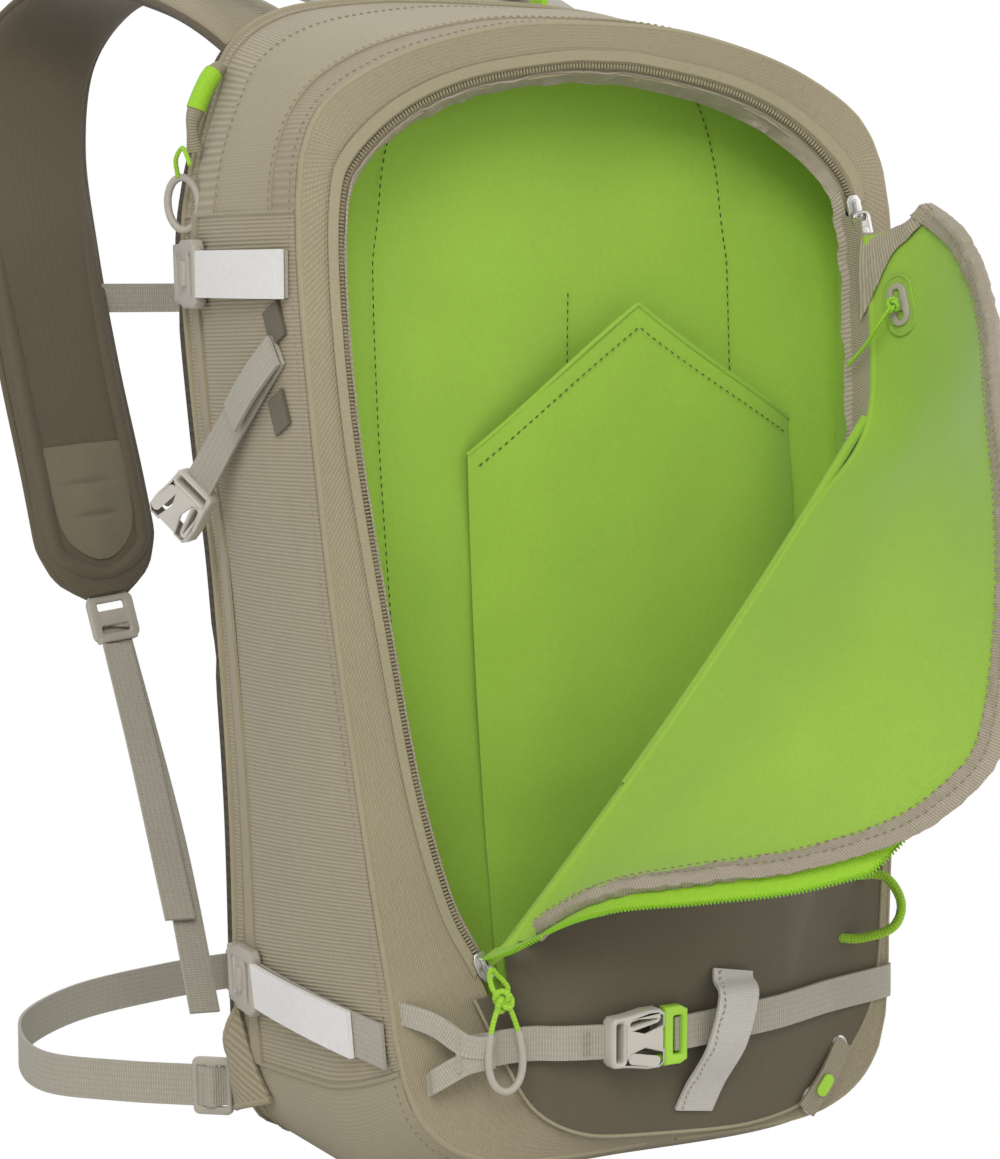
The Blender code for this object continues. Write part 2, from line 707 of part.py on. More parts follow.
def zip_line():
    begin = share_at_height(zip_point, SLIDER_LEFT_Z)
    span = 2 * (1 - begin)
    count = 60
    points = []
    for i in range(count + 1):
        t = begin + span * i / count
        s = t if t <= 1 else 2 - t
        points.append(on_side(zip_point(s, CHAIN_INSET), -1 if t <= 1 else 1))
    tube("zip_chain_body", points, CHAIN_RADIUS, GREY, 0)
    slider_front = CHAIN_RADIUS + HAIR
    for side, z, name in ((-1, SLIDER_LEFT_Z, "left"), (1, SLIDER_RIGHT_Z, "right")):
        s = share_at_height(zip_point, z)
        here = on_side(zip_point(s, CHAIN_INSET), side)
        up = on_side(zip_point(s + 0.01, CHAIN_INSET) - zip_point(s - 0.01, CHAIN_INSET), side).normalized()
        out = (-Y - up * (-Y).dot(up)).normalized()
        slider = box(f"zip_slider_{name}", (SLIDER_LENGTH, SLIDER_WIDTH, SLIDER_THICK),
                     frame_matrix(here + out * (slider_front + SLIDER_THICK / 2), up, out), GREY, METAL_EDGE)
        hang = here + out * (slider_front + SLIDER_THICK + PULL_THICK) - up * PULL_HANG
        if side < 0:
            pull = zip_loop(hang)
        else:
            place = frame_matrix(hang - out * STRAP_SEAT - up * (PULL_LENGTH / 2 - STRAP_SEAT), up, out)
            pull = box("zip_pull_right", (PULL_LENGTH, PULL_WIDTH, PULL_THICK), place, GREY, METAL_EDGE)
        pull_pivot = pivot(f"zip_pull_{name}_pivot", hang, [pull])
        slider_pivot = pivot(f"zip_slider_{name}_rail", here, [slider])
        pull_pivot.parent = slider_pivot
        pull_pivot.matrix_parent_inverse = slider_pivot.matrix_world.inverted()


def zip_loop(top):
    """Cord from the slider with a moulded teardrop loop on its end."""
    front = top - Y * LOOP_STANDOFF
    loop = []
    for i in range(16):
        angle = 2 * math.pi * i / 16
        fall = (1 - math.cos(angle)) / 2
        wide = LOOP_HALF * math.sin(angle) * (0.25 + 0.75 * fall)
        lean = top.lerp(front, min(1, fall * 5))
        loop.append(lean + Vector((wide, 0, -METAL_EDGE - LOOP_DROP * fall)))
    return tube("zip_pull_left", loop, LOOP_RADIUS, GREY, closed=True)


def female_buckle(name, place, colour):
    """Moulded socket: its mouth faces local +X."""
    size = (BUCKLE_LENGTH, BUCKLE_WIDTH, BUCKLE_THICK)
    mouth = (BUCKLE_LENGTH, BUCKLE_WIDTH - 2 * BUCKLE_WALL, BUCKLE_THICK - 2 * BUCKLE_WALL)
    window = (BUCKLE_LENGTH * 0.34, BUCKLE_WIDTH * 1.5, BUCKLE_THICK - 2 * BUCKLE_WALL)
    cuts = [(mouth, X * BUCKLE_LENGTH * 0.30), (window, X * BUCKLE_LENGTH * 0.12)]
    return box(name, size, place, colour, BUCKLE_EDGE, cuts)


def slot_pair(width, away):
    """Two slots for webbing, each this far from the middle."""
    return [rounded(SLOT, width, SLOT_CORNER, (x, 0), 1) for x in (-away, away)]


def male_buckle(name, place, colour):
    """Insert with two side arms and a centre guide; its arms point to local -X from a base bar."""
    wide = BUCKLE_WIDTH - 2 * BUCKLE_WALL - 2 * TONGUE_CLEAR
    reach = BUCKLE_LENGTH * 0.60
    arm = BUCKLE_ARM
    slim = BUCKLE_ARM * 0.9
    half = wide / 2
    base = BUCKLE_WIDTH / 2
    shape = [
        (MALE_BASE, -base), (MALE_BASE, base), (0, base), (0, half), (-reach, half), (-reach, half - arm),
        (-reach * 0.12, half - arm), (-reach * 0.12, slim / 2), (-reach * 0.8, slim / 2),
        (-reach * 0.8, -slim / 2), (-reach * 0.12, -slim / 2), (-reach * 0.12, arm - half),
        (-reach, arm - half), (-reach, -half), (0, -half), (0, -base),
    ]
    thick = BUCKLE_THICK - 2 * BUCKLE_WALL - 2 * TONGUE_CLEAR
    slot = rounded(SLOT, WEB_WIDTH, SLOT_CORNER, (MALE_BASE * 0.6, 0), 1)
    return plate(name, [shape, slot], thick, place, colour)


def front_strap():
    lift = WEB / 2 + STRAP_SEAT
    clear = BUCKLE_THICK / 2 + BUCKLE_SEAT
    left_end = Vector((FEMALE_LEFT_X, 0, FRONT_STRAP_Z))
    female_x = FEMALE_LEFT_X + BUCKLE_LENGTH / 2 + STRAP_SEAT
    at = front_at(female_x, FRONT_STRAP_Z, clear)
    near = front_at(left_end.x, left_end.z, clear)
    s = share_at_height(seam_point, FRONT_STRAP_Z)
    anchor = mirrored(seam_point(s)) + Vector((ANCHOR_INSET, -RIM_STEP - ANCHOR_LIFT, 0))
    points = [anchor, Vector((STRAP_BRIDGE_X, STRAP_BRIDGE_Y, FRONT_STRAP_Z))]
    for share, rise in ((0.45, 1.7), (0.75, 1.2)):
        x = STRAP_BRIDGE_X + (near.x - STRAP_BRIDGE_X) * share
        points.append(front_at(x, FRONT_STRAP_Z, lift + STRAP_LIFT * rise))
    points.append(near - X * SLOT_CORNER)
    route = Route(points)

    def y_place(u, w):
        width = WEB_WIDTH * (1 + 0.7 * max(0, 1 - u / 0.42))
        return route.at(u) + Z * (w - 0.5) * width

    sheet("front_strap_left", 14, 2, y_place, WEB, PALE)
    female = female_buckle("front_buckle_female", frame_matrix(at, X, -Y), PALE)
    tip = at + X * (BUCKLE_LENGTH / 2 + HAIR)
    male_buckle("front_buckle_male", frame_matrix(tip, X, -Y), BRIGHT_LIME)
    start = tip + X * (MALE_BASE + HAIR)
    right = seam_point(share_at_height(seam_point, FRONT_STRAP_RIGHT_Z))
    right = right + Vector((-ANCHOR_INSET, -RIM_STEP - ANCHOR_LIFT, 0))
    points = [start]
    for f in (0.16, 0.43, 0.70):
        x = start.x + (right.x - start.x) * f
        points.append(front_at(x, FRONT_STRAP_Z + (FRONT_STRAP_RIGHT_Z - FRONT_STRAP_Z) * f, lift + STRAP_LIFT))
    points.append(right)
    strap("front_strap_right", points, WEB_WIDTH, WEB, Z, PALE, 14)
    pivot("front_buckle_path", at, [female])


def keeper_loop():
    """Vertical webbing that holds the front strap against the panel."""
    over = 2 * WEB + STRAP_LIFT + KEEPER_CLEAR
    rises = (KEEPER_EDGE, KEEPER_RISE, over, over, KEEPER_RISE, KEEPER_EDGE)
    points = []
    for share, out in zip((0, 0.20, 0.50, 0.84, 0.94, 1), rises):
        at = KEEPER_BOTTOM.lerp(KEEPER_TOP, share)
        points.append(front_at(at.x, at.z, WEB / 2 + out))
    strap("keeper_loop", points, KEEPER_WIDTH, WEB, X, PALE, 14)


def axe_loop():
    """Bungee loop sewn into the right edge of the front."""
    high = zip_point(share_at_height(zip_point, AXE_LOOP_HIGH), -AXE_LOOP_SHIFT)
    low = zip_point(share_at_height(zip_point, AXE_LOOP_LOW), -AXE_LOOP_SHIFT)
    seat = -Y * (AXE_LOOP_RADIUS + SIDE_SEAT)
    reach = Vector((AXE_LOOP_REACH, -AXE_LOOP_REACH, 0))
    points = [high + seat - X * AXE_LOOP_RADIUS, high + reach * 0.5 - Y * AXE_LOOP_RADIUS]
    points += [high.lerp(low, 0.4) + reach, high.lerp(low, 0.8) + reach, low + reach * 0.5, low + seat]
    route = Route(points)
    tube("axe_loop", [route.at(i / 12) for i in range(13)], AXE_LOOP_RADIUS, BRIGHT_LIME)


def ski_straps():
    """A coated webbing loop and its hook buckle, high and low on each side."""
    lift = WEB / 2 + SIDE_SEAT
    for side, side_name in ((-1, "left"), (1, "right")):
        for z, level in ((SKI_UPPER_Z, "upper"), (SKI_LOWER_Z, "lower")):
            front_y = seam_point(share_at_height(seam_point, z)).y + SKI_LOOP_FRONT
            points = []
            for i in range(5):
                at, out = side_frame(SKI_LOOP_BACK + (front_y - SKI_LOOP_BACK) * i / 4, z, side)
                points.append(at + out * lift)
            strap(f"ski_strap_{level}_{side_name}", points, BELT_WIDTH, WEB, out.cross(Y), WHITE, 8)
            y = SKI_LOOP_BACK + SKI_BUCKLE_LENGTH / 2 + STRAP_SEAT
            at, out = side_frame(y, z, side)
            edge = rounded(SKI_BUCKLE_LENGTH, SKI_BUCKLE_HEIGHT, SLOT)
            slots = slot_pair(BELT_WIDTH, SKI_BUCKLE_LENGTH * 0.27)
            place = frame_matrix(at + out * (SKI_BUCKLE_THICK / 2 + SIDE_SEAT + HAIR), Y, out)
            buckle = plate(f"ski_buckle_{level}_{side_name}", [edge] + slots, SKI_BUCKLE_THICK, place, GREY)
            hinge = side_frame(SKI_LOOP_BACK, z, side)
            pivot(f"ski_buckle_{level}_{side_name}_pivot", hinge[0] + hinge[1] * lift, [buckle])


def compression_straps():
    """Webbing hung from the front edge of each side, with half a buckle turned to the front on its end."""
    lift = WEB / 2 + SIDE_SEAT
    clear = BUCKLE_WIDTH * 0.36 + BUCKLE_SEAT
    for side, name in ((-1, "left"), (1, "right")):
        root, out = side_frame(COMPRESSION_Y, COMPRESSION_Z, side)
        low = Vector((0, COMPRESSION_Y, COMPRESSION_Z)) + COMPRESSION_DROP
        half_way = low - COMPRESSION_DROP / 2
        middle, mid_out = side_frame(half_way.y, half_way.z, side)
        end, end_out = side_frame(low.y, low.z, side)
        along = (end - middle).normalized()
        tip = end + end_out * clear
        face = (end_out - Y * COMPRESSION_TURN).normalized()
        hang = (along - face * along.dot(face)).normalized()
        turned = face.cross(hang)

        def across(u, flat=along.cross(out), turned=turned, hang=hang):
            return flat.lerp(turned if turned.dot(flat) > 0 else -turned, u)

        points = [root + out * lift, middle + mid_out * (clear * 0.5), tip]
        web = strap(f"compression_strap_{name}", points, WEB_WIDTH, WEB, across, PALE, 10)
        if side < 0:
            place = frame_matrix(tip + hang * (BUCKLE_LENGTH / 2 + SIDE_SEAT), hang, face)
            half = female_buckle("compression_buckle_left", place, PALE)
        else:
            place = frame_matrix(tip + hang * (MALE_BASE + SIDE_SEAT), -hang, face)
            half = male_buckle("compression_buckle_right", place, BRIGHT_LIME)
        pivot(f"compression_{name}_pivot", root, [web, half])


def top_fittings():
    """Haul loop, the sleeved side loop and the pull of the main zip."""
    rear = BACK_Y + GAP + HAUL_WIDTH / 2
    haul = []
    for x, rise in ((-1, 0), (-0.91, 0.67), (0, 1), (0.91, 0.67), (1, 0)):
        haul.append(Vector((HAUL_HALF * x, rear + GAP * 4 * rise, BACK_HEIGHT + HAUL_SEAT + HAUL_RISE * rise)))
    loop = strap("haul_loop", haul, HAUL_WIDTH, HAUL_THICK, Y, BRIGHT_LIME, 14)
    pivot("haul_loop_pivot", haul[0], [loop])
    marks = []
    for fall, puff in ((0, 0), (0.21, 0.83), (0.68, 1), (1, 0)):
        at, out = side_frame(SIDE_LOOP_Y - GAP * 4 * puff, SIDE_LOOP_TOP - SIDE_LOOP_DROP * fall, -1)
        marks.append(at + out * (SIDE_LOOP_SEAT + SIDE_LOOP_PUFF * puff))
    route = Route(marks)
    tube("side_loop", [route.at(i / 12) for i in range(13)], SIDE_LOOP_RADIUS, BRIGHT_LIME, 2)
    top, out = side_frame(MAIN_PULL_Y, MAIN_PULL_TOP, -1)
    centre = top + out * MAIN_PULL_SEAT - Z * (MAIN_PULL_HEIGHT / 2 + 2 * GAP)
    ring = []
    for i in range(14):
        angle = 2 * math.pi * i / 14
        wide = MAIN_PULL_WIDTH / 2 * math.sin(angle)
        ring.append(centre + Y * wide + Z * MAIN_PULL_HEIGHT / 2 * math.cos(angle))
    pull = tube("main_zip_pull", ring, MAIN_PULL_RADIUS, GREY, closed=True)
    pivot("main_zip_pull_pivot", top + out * MAIN_PULL_SEAT, [pull])


def back_system():
    def pad_place(u, w):
        z = row_height(BACK_PAD_EDGE, BACK_HEIGHT - BACK_PAD_EDGE, w)
        half = back_point(share_at_height(back_point, z)).x
        f = 2 * u - 1
        crown = BACK_CROWN * (1 - f**4) * (1 - (2 * w - 1) ** 6)
        return Vector((half * f, BACK_Y + BACK_PAD / 2 + GAP + crown, z))

    pad = sheet("back_panel", 8, 12, pad_place, BACK_PAD, MESH_BROWN, 0.95)
    soft = pad.modifiers.new("Edges", "BEVEL")
    soft.width = PANEL
    soft.segments = 2
    soft.limit_method = "ANGLE"

    def sheet_place(u, w):
        z = row_height(FRAME_SHEET_EDGE, BACK_HEIGHT - FRAME_SHEET_EDGE, w)
        half = back_point(share_at_height(back_point, z)).x - FRAME_SHEET_INSET
        return Vector((half * (2 * u - 1), BACK_Y - FRAME_SHEET / 2 - GAP / 2, z))

    sheet("frame_sheet", 4, 10, sheet_place, FRAME_SHEET, SHEET_BLACK, 0.5)


def pad_section(t, angle):
    end = min(1, t / 0.08, (1 - t) / 0.05)
    close = max(0, (t - 1 + PAD_END) / PAD_END)
    half = HARNESS_WIDTH / 2 * (0.80 + 0.20 * min(1, t / 0.35)) * (0.72 + 0.28 * math.sqrt(max(end, 0)))
    half *= 0.45 + 0.55 * math.sqrt(max(0, 1 - close**2))
    thick = HARNESS_THICK / 2 * (0.7 + 0.3 * math.sqrt(max(end, 0)))
    cos, sin = math.cos(angle), math.sin(angle)
    return (
        half * math.copysign(abs(cos) ** 0.55, cos),
        thick * math.copysign(abs(sin) ** 0.75, sin),
    )


def harness():
    moving = []
    for side, name in ((-1, "left"), (1, "right")):
        line = [on_side(mirrored(p), side) for p in PAD_LINE]
        route = Route(line)
        moving.append(swept(f"shoulder_pad_{name}", route, 22, 10, pad_section, HARNESS_BROWN))
        end, down = route.at(1), route.along(1)
        out = down.cross(X).normalized()
        lock_at = end + down * (LADDER_LENGTH / 2 + STRAP_SEAT)
        shape = [rounded(LADDER_LENGTH, LADDER_WIDTH, SLOT)] + slot_pair(WEB_WIDTH, LADDER_LENGTH / 4)
        moving.append(plate(f"ladder_lock_{name}", shape, LOCK, frame_matrix(lock_at, down, out), GREY))
        web_top = lock_at + down * (LADDER_LENGTH / 2 + PANEL)
        anchor = on_side(mirrored(WEB_ANCHOR), side)
        sag = web_top.lerp(anchor, 0.5) + WEB_SAG
        strap(f"shoulder_web_{name}", [web_top, sag, anchor], WEB_WIDTH, WEB, X, PALE, 14)
        lifter(side, name, route, moving)
    pivot("harness_pivot", Vector((0, PAD_LINE[0].y, PAD_LINE[0].z)), moving)
    sternum()


def lifter(side, name, route, moving):
    """Load lifter from the top edge of the back to a lock on the pad."""
    at, along = route.at(LIFTER_SHARE), route.along(LIFTER_SHARE)
    wide = (X - along * along.x).normalized()
    up = along.cross(wide)
    up = up if up.z > 0 else -up
    seat = at + up * (HARNESS_THICK / 2 + LOCK / 2 + HAIR)
    shape = [rounded(LIFTER_LENGTH, LIFTER_WIDTH, SLOT * 0.75)] + slot_pair(WEB_WIDTH, LIFTER_LENGTH / 4)
    moving.append(plate(f"lifter_lock_{name}", shape, LOCK, frame_matrix(seat, along, up), GREY))
    far = seat - along * (LIFTER_LENGTH / 2 + STRAP_SEAT)
    near = on_side(Vector((LIFTER_X, BACK_Y + BACK_PAD * 0.5, BACK_HEIGHT - PANEL)), side)
    middle = near.lerp(far, 0.5) + Z * 2 * PANEL
    strap(f"load_lifter_{name}", [near, middle, far], WEB_WIDTH, WEB, X, PALE, 10)


def sternum():
    half = STERNUM_BUCKLE / 2
    pieces = []
    for side, name in ((-1, "left"), (1, "right")):
        marks = (STERNUM_REACH, (STERNUM_REACH + half) / 2, half + HAIR)
        points = [Vector((side * x, STERNUM_Y, STERNUM_Z)) for x in marks]
        pieces.append(strap(f"sternum_strap_{name}", points, WEB_WIDTH, WEB, Z, PALE, 6))
    place = frame_matrix(Vector((0, STERNUM_Y, STERNUM_Z)), X, Y)
    size = (STERNUM_BUCKLE, BUCKLE_WIDTH * 0.9, BUCKLE_THICK * 0.8)
    pieces.append(box("sternum_buckle", size, place, GREY, BUCKLE_EDGE))
    pivot("sternum_rail", Vector((0, STERNUM_Y, STERNUM_Z)), pieces)


def hip_belt():
    pieces = []
    for side, name in ((-1, "left"), (1, "right")):
        line = [on_side(mirrored(p), side) for p in BELT_LINE]
        pieces.append(strap(f"hip_belt_{name}", line, BELT_WIDTH, WEB, Z, PALE, 18))
        route = Route(line)
        along = route.along(0.0)
        out = along.cross(Z).normalized() * side
        out = -out if out.x * side < 0 else out
        shape = [rounded(GLIDE_LENGTH, GLIDE_HEIGHT, SLOT * 0.75)] + slot_pair(BELT_WIDTH, GLIDE_LENGTH / 4)
        at = line[0] - along * (GLIDE_LENGTH / 2 + STRAP_SEAT)
        pieces.append(plate(f"tri_glide_{name}", shape, LOCK, frame_matrix(at, along, out), GREY))
        tip = at - along * (GLIDE_LENGTH / 2 + PANEL + HAIR / 2)
        hip_wing(side, name, tip)
    place = frame_matrix(Vector((0, BELT_LINE[-1].y, BELT_LINE[-1].z)), X, Y)
    size = (HIP_BUCKLE_LENGTH, HIP_BUCKLE_HEIGHT, BUCKLE_THICK)
    pieces.append(box("hip_buckle", size, place, GREY, BUCKLE_EDGE))
    pivot("hip_belt_pivot", Vector((0, tip.y, tip.z)), pieces)


def hip_wing(side, name, tip):
    """Tapered fabric wing between the side panel and the belt."""
    def place(u, w):
        root, out = side_frame(WING_FRONT + WING_RAKE * w, WING_BOTTOM + WING_HEIGHT * w, side)
        root = root + out * (PANEL / 2 + STRAP_SEAT)
        end = Vector((tip.x, tip.y, tip.z + (w - 0.5) * BELT_WIDTH))
        bow = on_side(X * WING_BOW * math.sin(math.pi * u), side)
        return root.lerp(end, u) + bow

    sheet(f"hip_wing_{name}", 5, 3, place, PANEL, TAN)


clear_scene()
PARTS = make_collection("ski_backpack")
CUTTERS = make_collection("cutters")
body_panels()
front_rim()
pocket()
front_flap()
zip_line()
front_strap()
keeper_loop()
axe_loop()
ski_straps()
compression_straps()
top_fittings()
back_system()
harness()
hip_belt()
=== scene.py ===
"""Dresses the ski backpack: cloth, webbing, zips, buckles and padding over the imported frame.

Metres, +Z up, front pocket towards -Y, wearer's back towards +Y.
"""

import bisect
import functools
import json
import math

import bmesh
import bpy
from mathutils import Color, Matrix, Vector, noise
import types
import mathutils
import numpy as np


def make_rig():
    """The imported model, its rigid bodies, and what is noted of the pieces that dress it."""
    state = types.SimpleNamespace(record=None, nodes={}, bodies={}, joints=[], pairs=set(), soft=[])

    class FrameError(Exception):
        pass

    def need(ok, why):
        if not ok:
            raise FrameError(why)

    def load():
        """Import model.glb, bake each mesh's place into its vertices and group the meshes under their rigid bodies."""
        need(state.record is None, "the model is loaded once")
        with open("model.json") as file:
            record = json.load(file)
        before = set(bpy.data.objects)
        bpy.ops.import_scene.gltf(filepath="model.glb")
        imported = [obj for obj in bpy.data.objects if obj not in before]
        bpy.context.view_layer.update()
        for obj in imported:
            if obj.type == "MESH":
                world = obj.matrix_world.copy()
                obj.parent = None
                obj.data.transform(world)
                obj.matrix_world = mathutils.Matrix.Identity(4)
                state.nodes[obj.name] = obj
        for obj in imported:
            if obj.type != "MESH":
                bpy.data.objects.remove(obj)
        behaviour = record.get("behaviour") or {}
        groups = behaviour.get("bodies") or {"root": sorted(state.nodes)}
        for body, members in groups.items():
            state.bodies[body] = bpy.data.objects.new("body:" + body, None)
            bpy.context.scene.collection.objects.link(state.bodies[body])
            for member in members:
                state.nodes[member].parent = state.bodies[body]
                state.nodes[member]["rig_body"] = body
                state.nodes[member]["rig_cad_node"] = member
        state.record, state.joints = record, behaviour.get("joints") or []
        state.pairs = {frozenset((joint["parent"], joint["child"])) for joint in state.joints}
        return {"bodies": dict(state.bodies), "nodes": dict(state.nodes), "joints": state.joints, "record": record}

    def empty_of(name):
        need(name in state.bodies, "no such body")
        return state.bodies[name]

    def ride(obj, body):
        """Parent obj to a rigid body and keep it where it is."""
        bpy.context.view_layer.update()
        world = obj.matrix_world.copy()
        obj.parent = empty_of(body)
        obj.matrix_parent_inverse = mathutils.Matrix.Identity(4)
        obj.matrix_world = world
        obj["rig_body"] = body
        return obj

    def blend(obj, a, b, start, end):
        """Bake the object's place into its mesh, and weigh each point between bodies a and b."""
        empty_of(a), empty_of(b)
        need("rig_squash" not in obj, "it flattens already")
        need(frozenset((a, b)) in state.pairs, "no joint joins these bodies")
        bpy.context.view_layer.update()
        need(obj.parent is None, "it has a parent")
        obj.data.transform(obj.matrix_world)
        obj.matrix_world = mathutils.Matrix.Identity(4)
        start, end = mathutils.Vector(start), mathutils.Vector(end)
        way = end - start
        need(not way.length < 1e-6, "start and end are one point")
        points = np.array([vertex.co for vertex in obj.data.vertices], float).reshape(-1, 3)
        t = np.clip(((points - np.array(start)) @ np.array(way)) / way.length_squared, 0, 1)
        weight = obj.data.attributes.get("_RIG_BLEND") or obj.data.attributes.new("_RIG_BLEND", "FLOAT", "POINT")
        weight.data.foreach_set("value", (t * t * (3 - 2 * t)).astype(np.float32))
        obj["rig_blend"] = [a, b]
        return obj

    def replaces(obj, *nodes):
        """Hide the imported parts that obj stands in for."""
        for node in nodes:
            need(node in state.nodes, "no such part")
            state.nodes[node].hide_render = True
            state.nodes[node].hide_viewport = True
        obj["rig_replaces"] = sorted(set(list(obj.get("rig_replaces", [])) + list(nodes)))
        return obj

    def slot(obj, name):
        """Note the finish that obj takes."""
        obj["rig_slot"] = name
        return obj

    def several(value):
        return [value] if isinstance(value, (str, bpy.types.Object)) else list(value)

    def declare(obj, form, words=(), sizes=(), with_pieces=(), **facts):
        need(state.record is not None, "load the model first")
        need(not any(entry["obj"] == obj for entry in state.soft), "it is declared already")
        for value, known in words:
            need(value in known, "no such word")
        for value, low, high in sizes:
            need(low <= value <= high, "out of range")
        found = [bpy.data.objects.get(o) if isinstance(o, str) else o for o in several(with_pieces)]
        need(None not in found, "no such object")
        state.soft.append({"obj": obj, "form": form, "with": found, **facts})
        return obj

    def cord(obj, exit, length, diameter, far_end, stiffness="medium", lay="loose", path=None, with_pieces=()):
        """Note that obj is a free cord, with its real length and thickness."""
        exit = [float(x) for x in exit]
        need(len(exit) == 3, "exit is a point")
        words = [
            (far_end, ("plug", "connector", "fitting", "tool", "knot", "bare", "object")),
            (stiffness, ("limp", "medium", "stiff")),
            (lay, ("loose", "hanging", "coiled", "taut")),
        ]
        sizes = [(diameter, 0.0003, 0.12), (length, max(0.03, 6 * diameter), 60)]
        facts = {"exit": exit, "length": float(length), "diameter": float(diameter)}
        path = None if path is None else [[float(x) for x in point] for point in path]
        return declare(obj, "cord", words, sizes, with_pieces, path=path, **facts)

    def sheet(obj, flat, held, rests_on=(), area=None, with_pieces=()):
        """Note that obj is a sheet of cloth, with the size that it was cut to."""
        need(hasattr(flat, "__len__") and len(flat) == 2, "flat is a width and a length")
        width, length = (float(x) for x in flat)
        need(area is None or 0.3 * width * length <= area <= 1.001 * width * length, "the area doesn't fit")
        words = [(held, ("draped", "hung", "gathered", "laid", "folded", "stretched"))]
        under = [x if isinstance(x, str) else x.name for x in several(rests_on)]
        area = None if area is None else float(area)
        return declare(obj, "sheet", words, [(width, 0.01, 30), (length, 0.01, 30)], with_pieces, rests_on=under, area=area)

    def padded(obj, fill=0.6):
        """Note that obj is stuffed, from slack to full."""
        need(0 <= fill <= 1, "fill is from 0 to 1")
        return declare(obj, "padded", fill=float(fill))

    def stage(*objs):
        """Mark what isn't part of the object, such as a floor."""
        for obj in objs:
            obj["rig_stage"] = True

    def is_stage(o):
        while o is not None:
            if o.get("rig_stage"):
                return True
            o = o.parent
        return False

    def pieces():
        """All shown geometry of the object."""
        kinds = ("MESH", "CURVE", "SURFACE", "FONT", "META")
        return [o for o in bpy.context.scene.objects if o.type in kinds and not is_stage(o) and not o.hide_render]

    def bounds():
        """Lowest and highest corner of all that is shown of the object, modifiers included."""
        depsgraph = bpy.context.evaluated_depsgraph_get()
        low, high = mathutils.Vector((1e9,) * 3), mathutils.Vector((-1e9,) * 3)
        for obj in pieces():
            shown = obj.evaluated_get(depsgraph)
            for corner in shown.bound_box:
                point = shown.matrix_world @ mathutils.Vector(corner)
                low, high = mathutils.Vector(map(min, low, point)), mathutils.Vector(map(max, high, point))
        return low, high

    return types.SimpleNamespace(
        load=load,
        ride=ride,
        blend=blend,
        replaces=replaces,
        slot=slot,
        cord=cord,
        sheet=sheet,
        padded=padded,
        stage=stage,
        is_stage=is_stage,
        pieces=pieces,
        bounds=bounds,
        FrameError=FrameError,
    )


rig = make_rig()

for startup in list(bpy.data.objects):
    bpy.data.objects.remove(startup)
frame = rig.load()
CAD_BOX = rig.bounds()


def vectors(points):
    return [Vector(point) for point in points]


BACK_Y = 0.090
BACK_HALF_WIDTH = 0.145
BACK_HEIGHT = 0.535
SEAM_HALF_WIDTH = 0.152
SEAM_BOTTOM = 0.024
SEAM_TOP = 0.517
SEAM_Y_TOP = -0.036
SEAM_Y_FALL = 0.055
SEAM_FALL_CURVE = 1.1
SIDE_BULGE = 0.004
FOOT_SHARE = 0.60
FOOT_FADE = 0.06
FOOT_CURVE = 1.5
PANEL = 0.002
GAP = 0.0005
ROW_CROWDING = 1.7
BASE_TOP = 0.046
SIDE_TOP = 0.434
ZIP_HALF_WIDTH = 0.137
ZIP_BOTTOM = 0.033
ZIP_TOP = 0.503
ZIP_Y_TOP = -0.040
ZIP_Y_FALL = 0.058
ZIP_FALL_CURVE = 1.15
CHAIN_RADIUS = 0.0014
CHAIN_INSET = CHAIN_RADIUS + 0.0018
PANEL_INSET = 2 * CHAIN_INSET
RIM_STEP = PANEL / 2 + 0.0008
POCKET_SHARE = 0.74
POCKET_DEPTH = 0.026
DIVIDER_BOTTOM = 0.052
DIVIDER_SEAT = 0.0009
DIVIDER_TOP = 0.506
DIVIDER_DOME_CLEAR = 0.0035
DOME_BLEND = 0.020
SLEEVE_SEAT = 0.0012
SLIDER_LEFT_Z = 0.110
SLIDER_RIGHT_Z = 0.440
FOLD_RIGHT_Z = 0.346
FRONT_BULGE = 0.018
FOLD_BULGE = 0.009
FOLD_STEP = 0.0034
FOLD_RIGHT_OUT = 0.008
FOLD_LEFT_OUT = 0.006
FLAP_BOW_SIDE = 0.010
FLAP_BOW = 0.38
EDGE_TRIM = 0.03
PANEL_FULLNESS = 0.8
WALL_BOW_CURVE = 0.7
SLEEVE_LEFT = -0.046
SLEEVE_RIGHT = 0.120
SLEEVE_BOTTOM = 0.090
SLEEVE_LEFT_EDGE = 0.326
SLEEVE_RIGHT_EDGE = 0.340
SLEEVE_PEAK = 0.394
SLEEVE_STANDOFF = 0.014
BACK_PAD = 0.012
BACK_CROWN = 0.004
BACK_PAD_EDGE = 0.006
HAUL_WIDTH = 0.012
HAUL_THICK = 0.003
HARNESS_WIDTH = 0.062
HARNESS_THICK = 0.013
BELT_WIDTH = 0.020
WEB_WIDTH = 0.015
WEB = 0.0016
LOCK = 0.004
WING_FRONT = 0.056
WING_RAKE = 0.030
WING_BOTTOM = 0.024
WING_HEIGHT = 0.038
WEB_ANCHOR = Vector((-0.1335, 0.1045, 0.056))
STERNUM_Z = 0.395
STERNUM_Y = 0.290
STERNUM_BUCKLE = 0.040
HIP_BUCKLE = 0.042
HIP_BUCKLE_WIDTH = 0.031
SKI_UPPER_Z = 0.408
SKI_LOWER_Z = 0.080
SKI_LOOP_BACK = 0.050
SKI_BUCKLE_LENGTH = 0.034
SKI_BUCKLE_THICK = 0.006
FRONT_STRAP_Z = 0.079
FRONT_STRAP_RIGHT_Z = 0.082
FEMALE_LEFT_X = -0.042
BUCKLE_LENGTH = 0.027
BUCKLE_WIDTH = 0.026
BUCKLE_THICK = 0.010
MALE_BASE = 0.012
KEEPER_WIDTH = 0.020
KEEPER_TOP = Vector((0.024, 0, 0.1035))
KEEPER_BOTTOM = Vector((0.012, 0, 0.039))
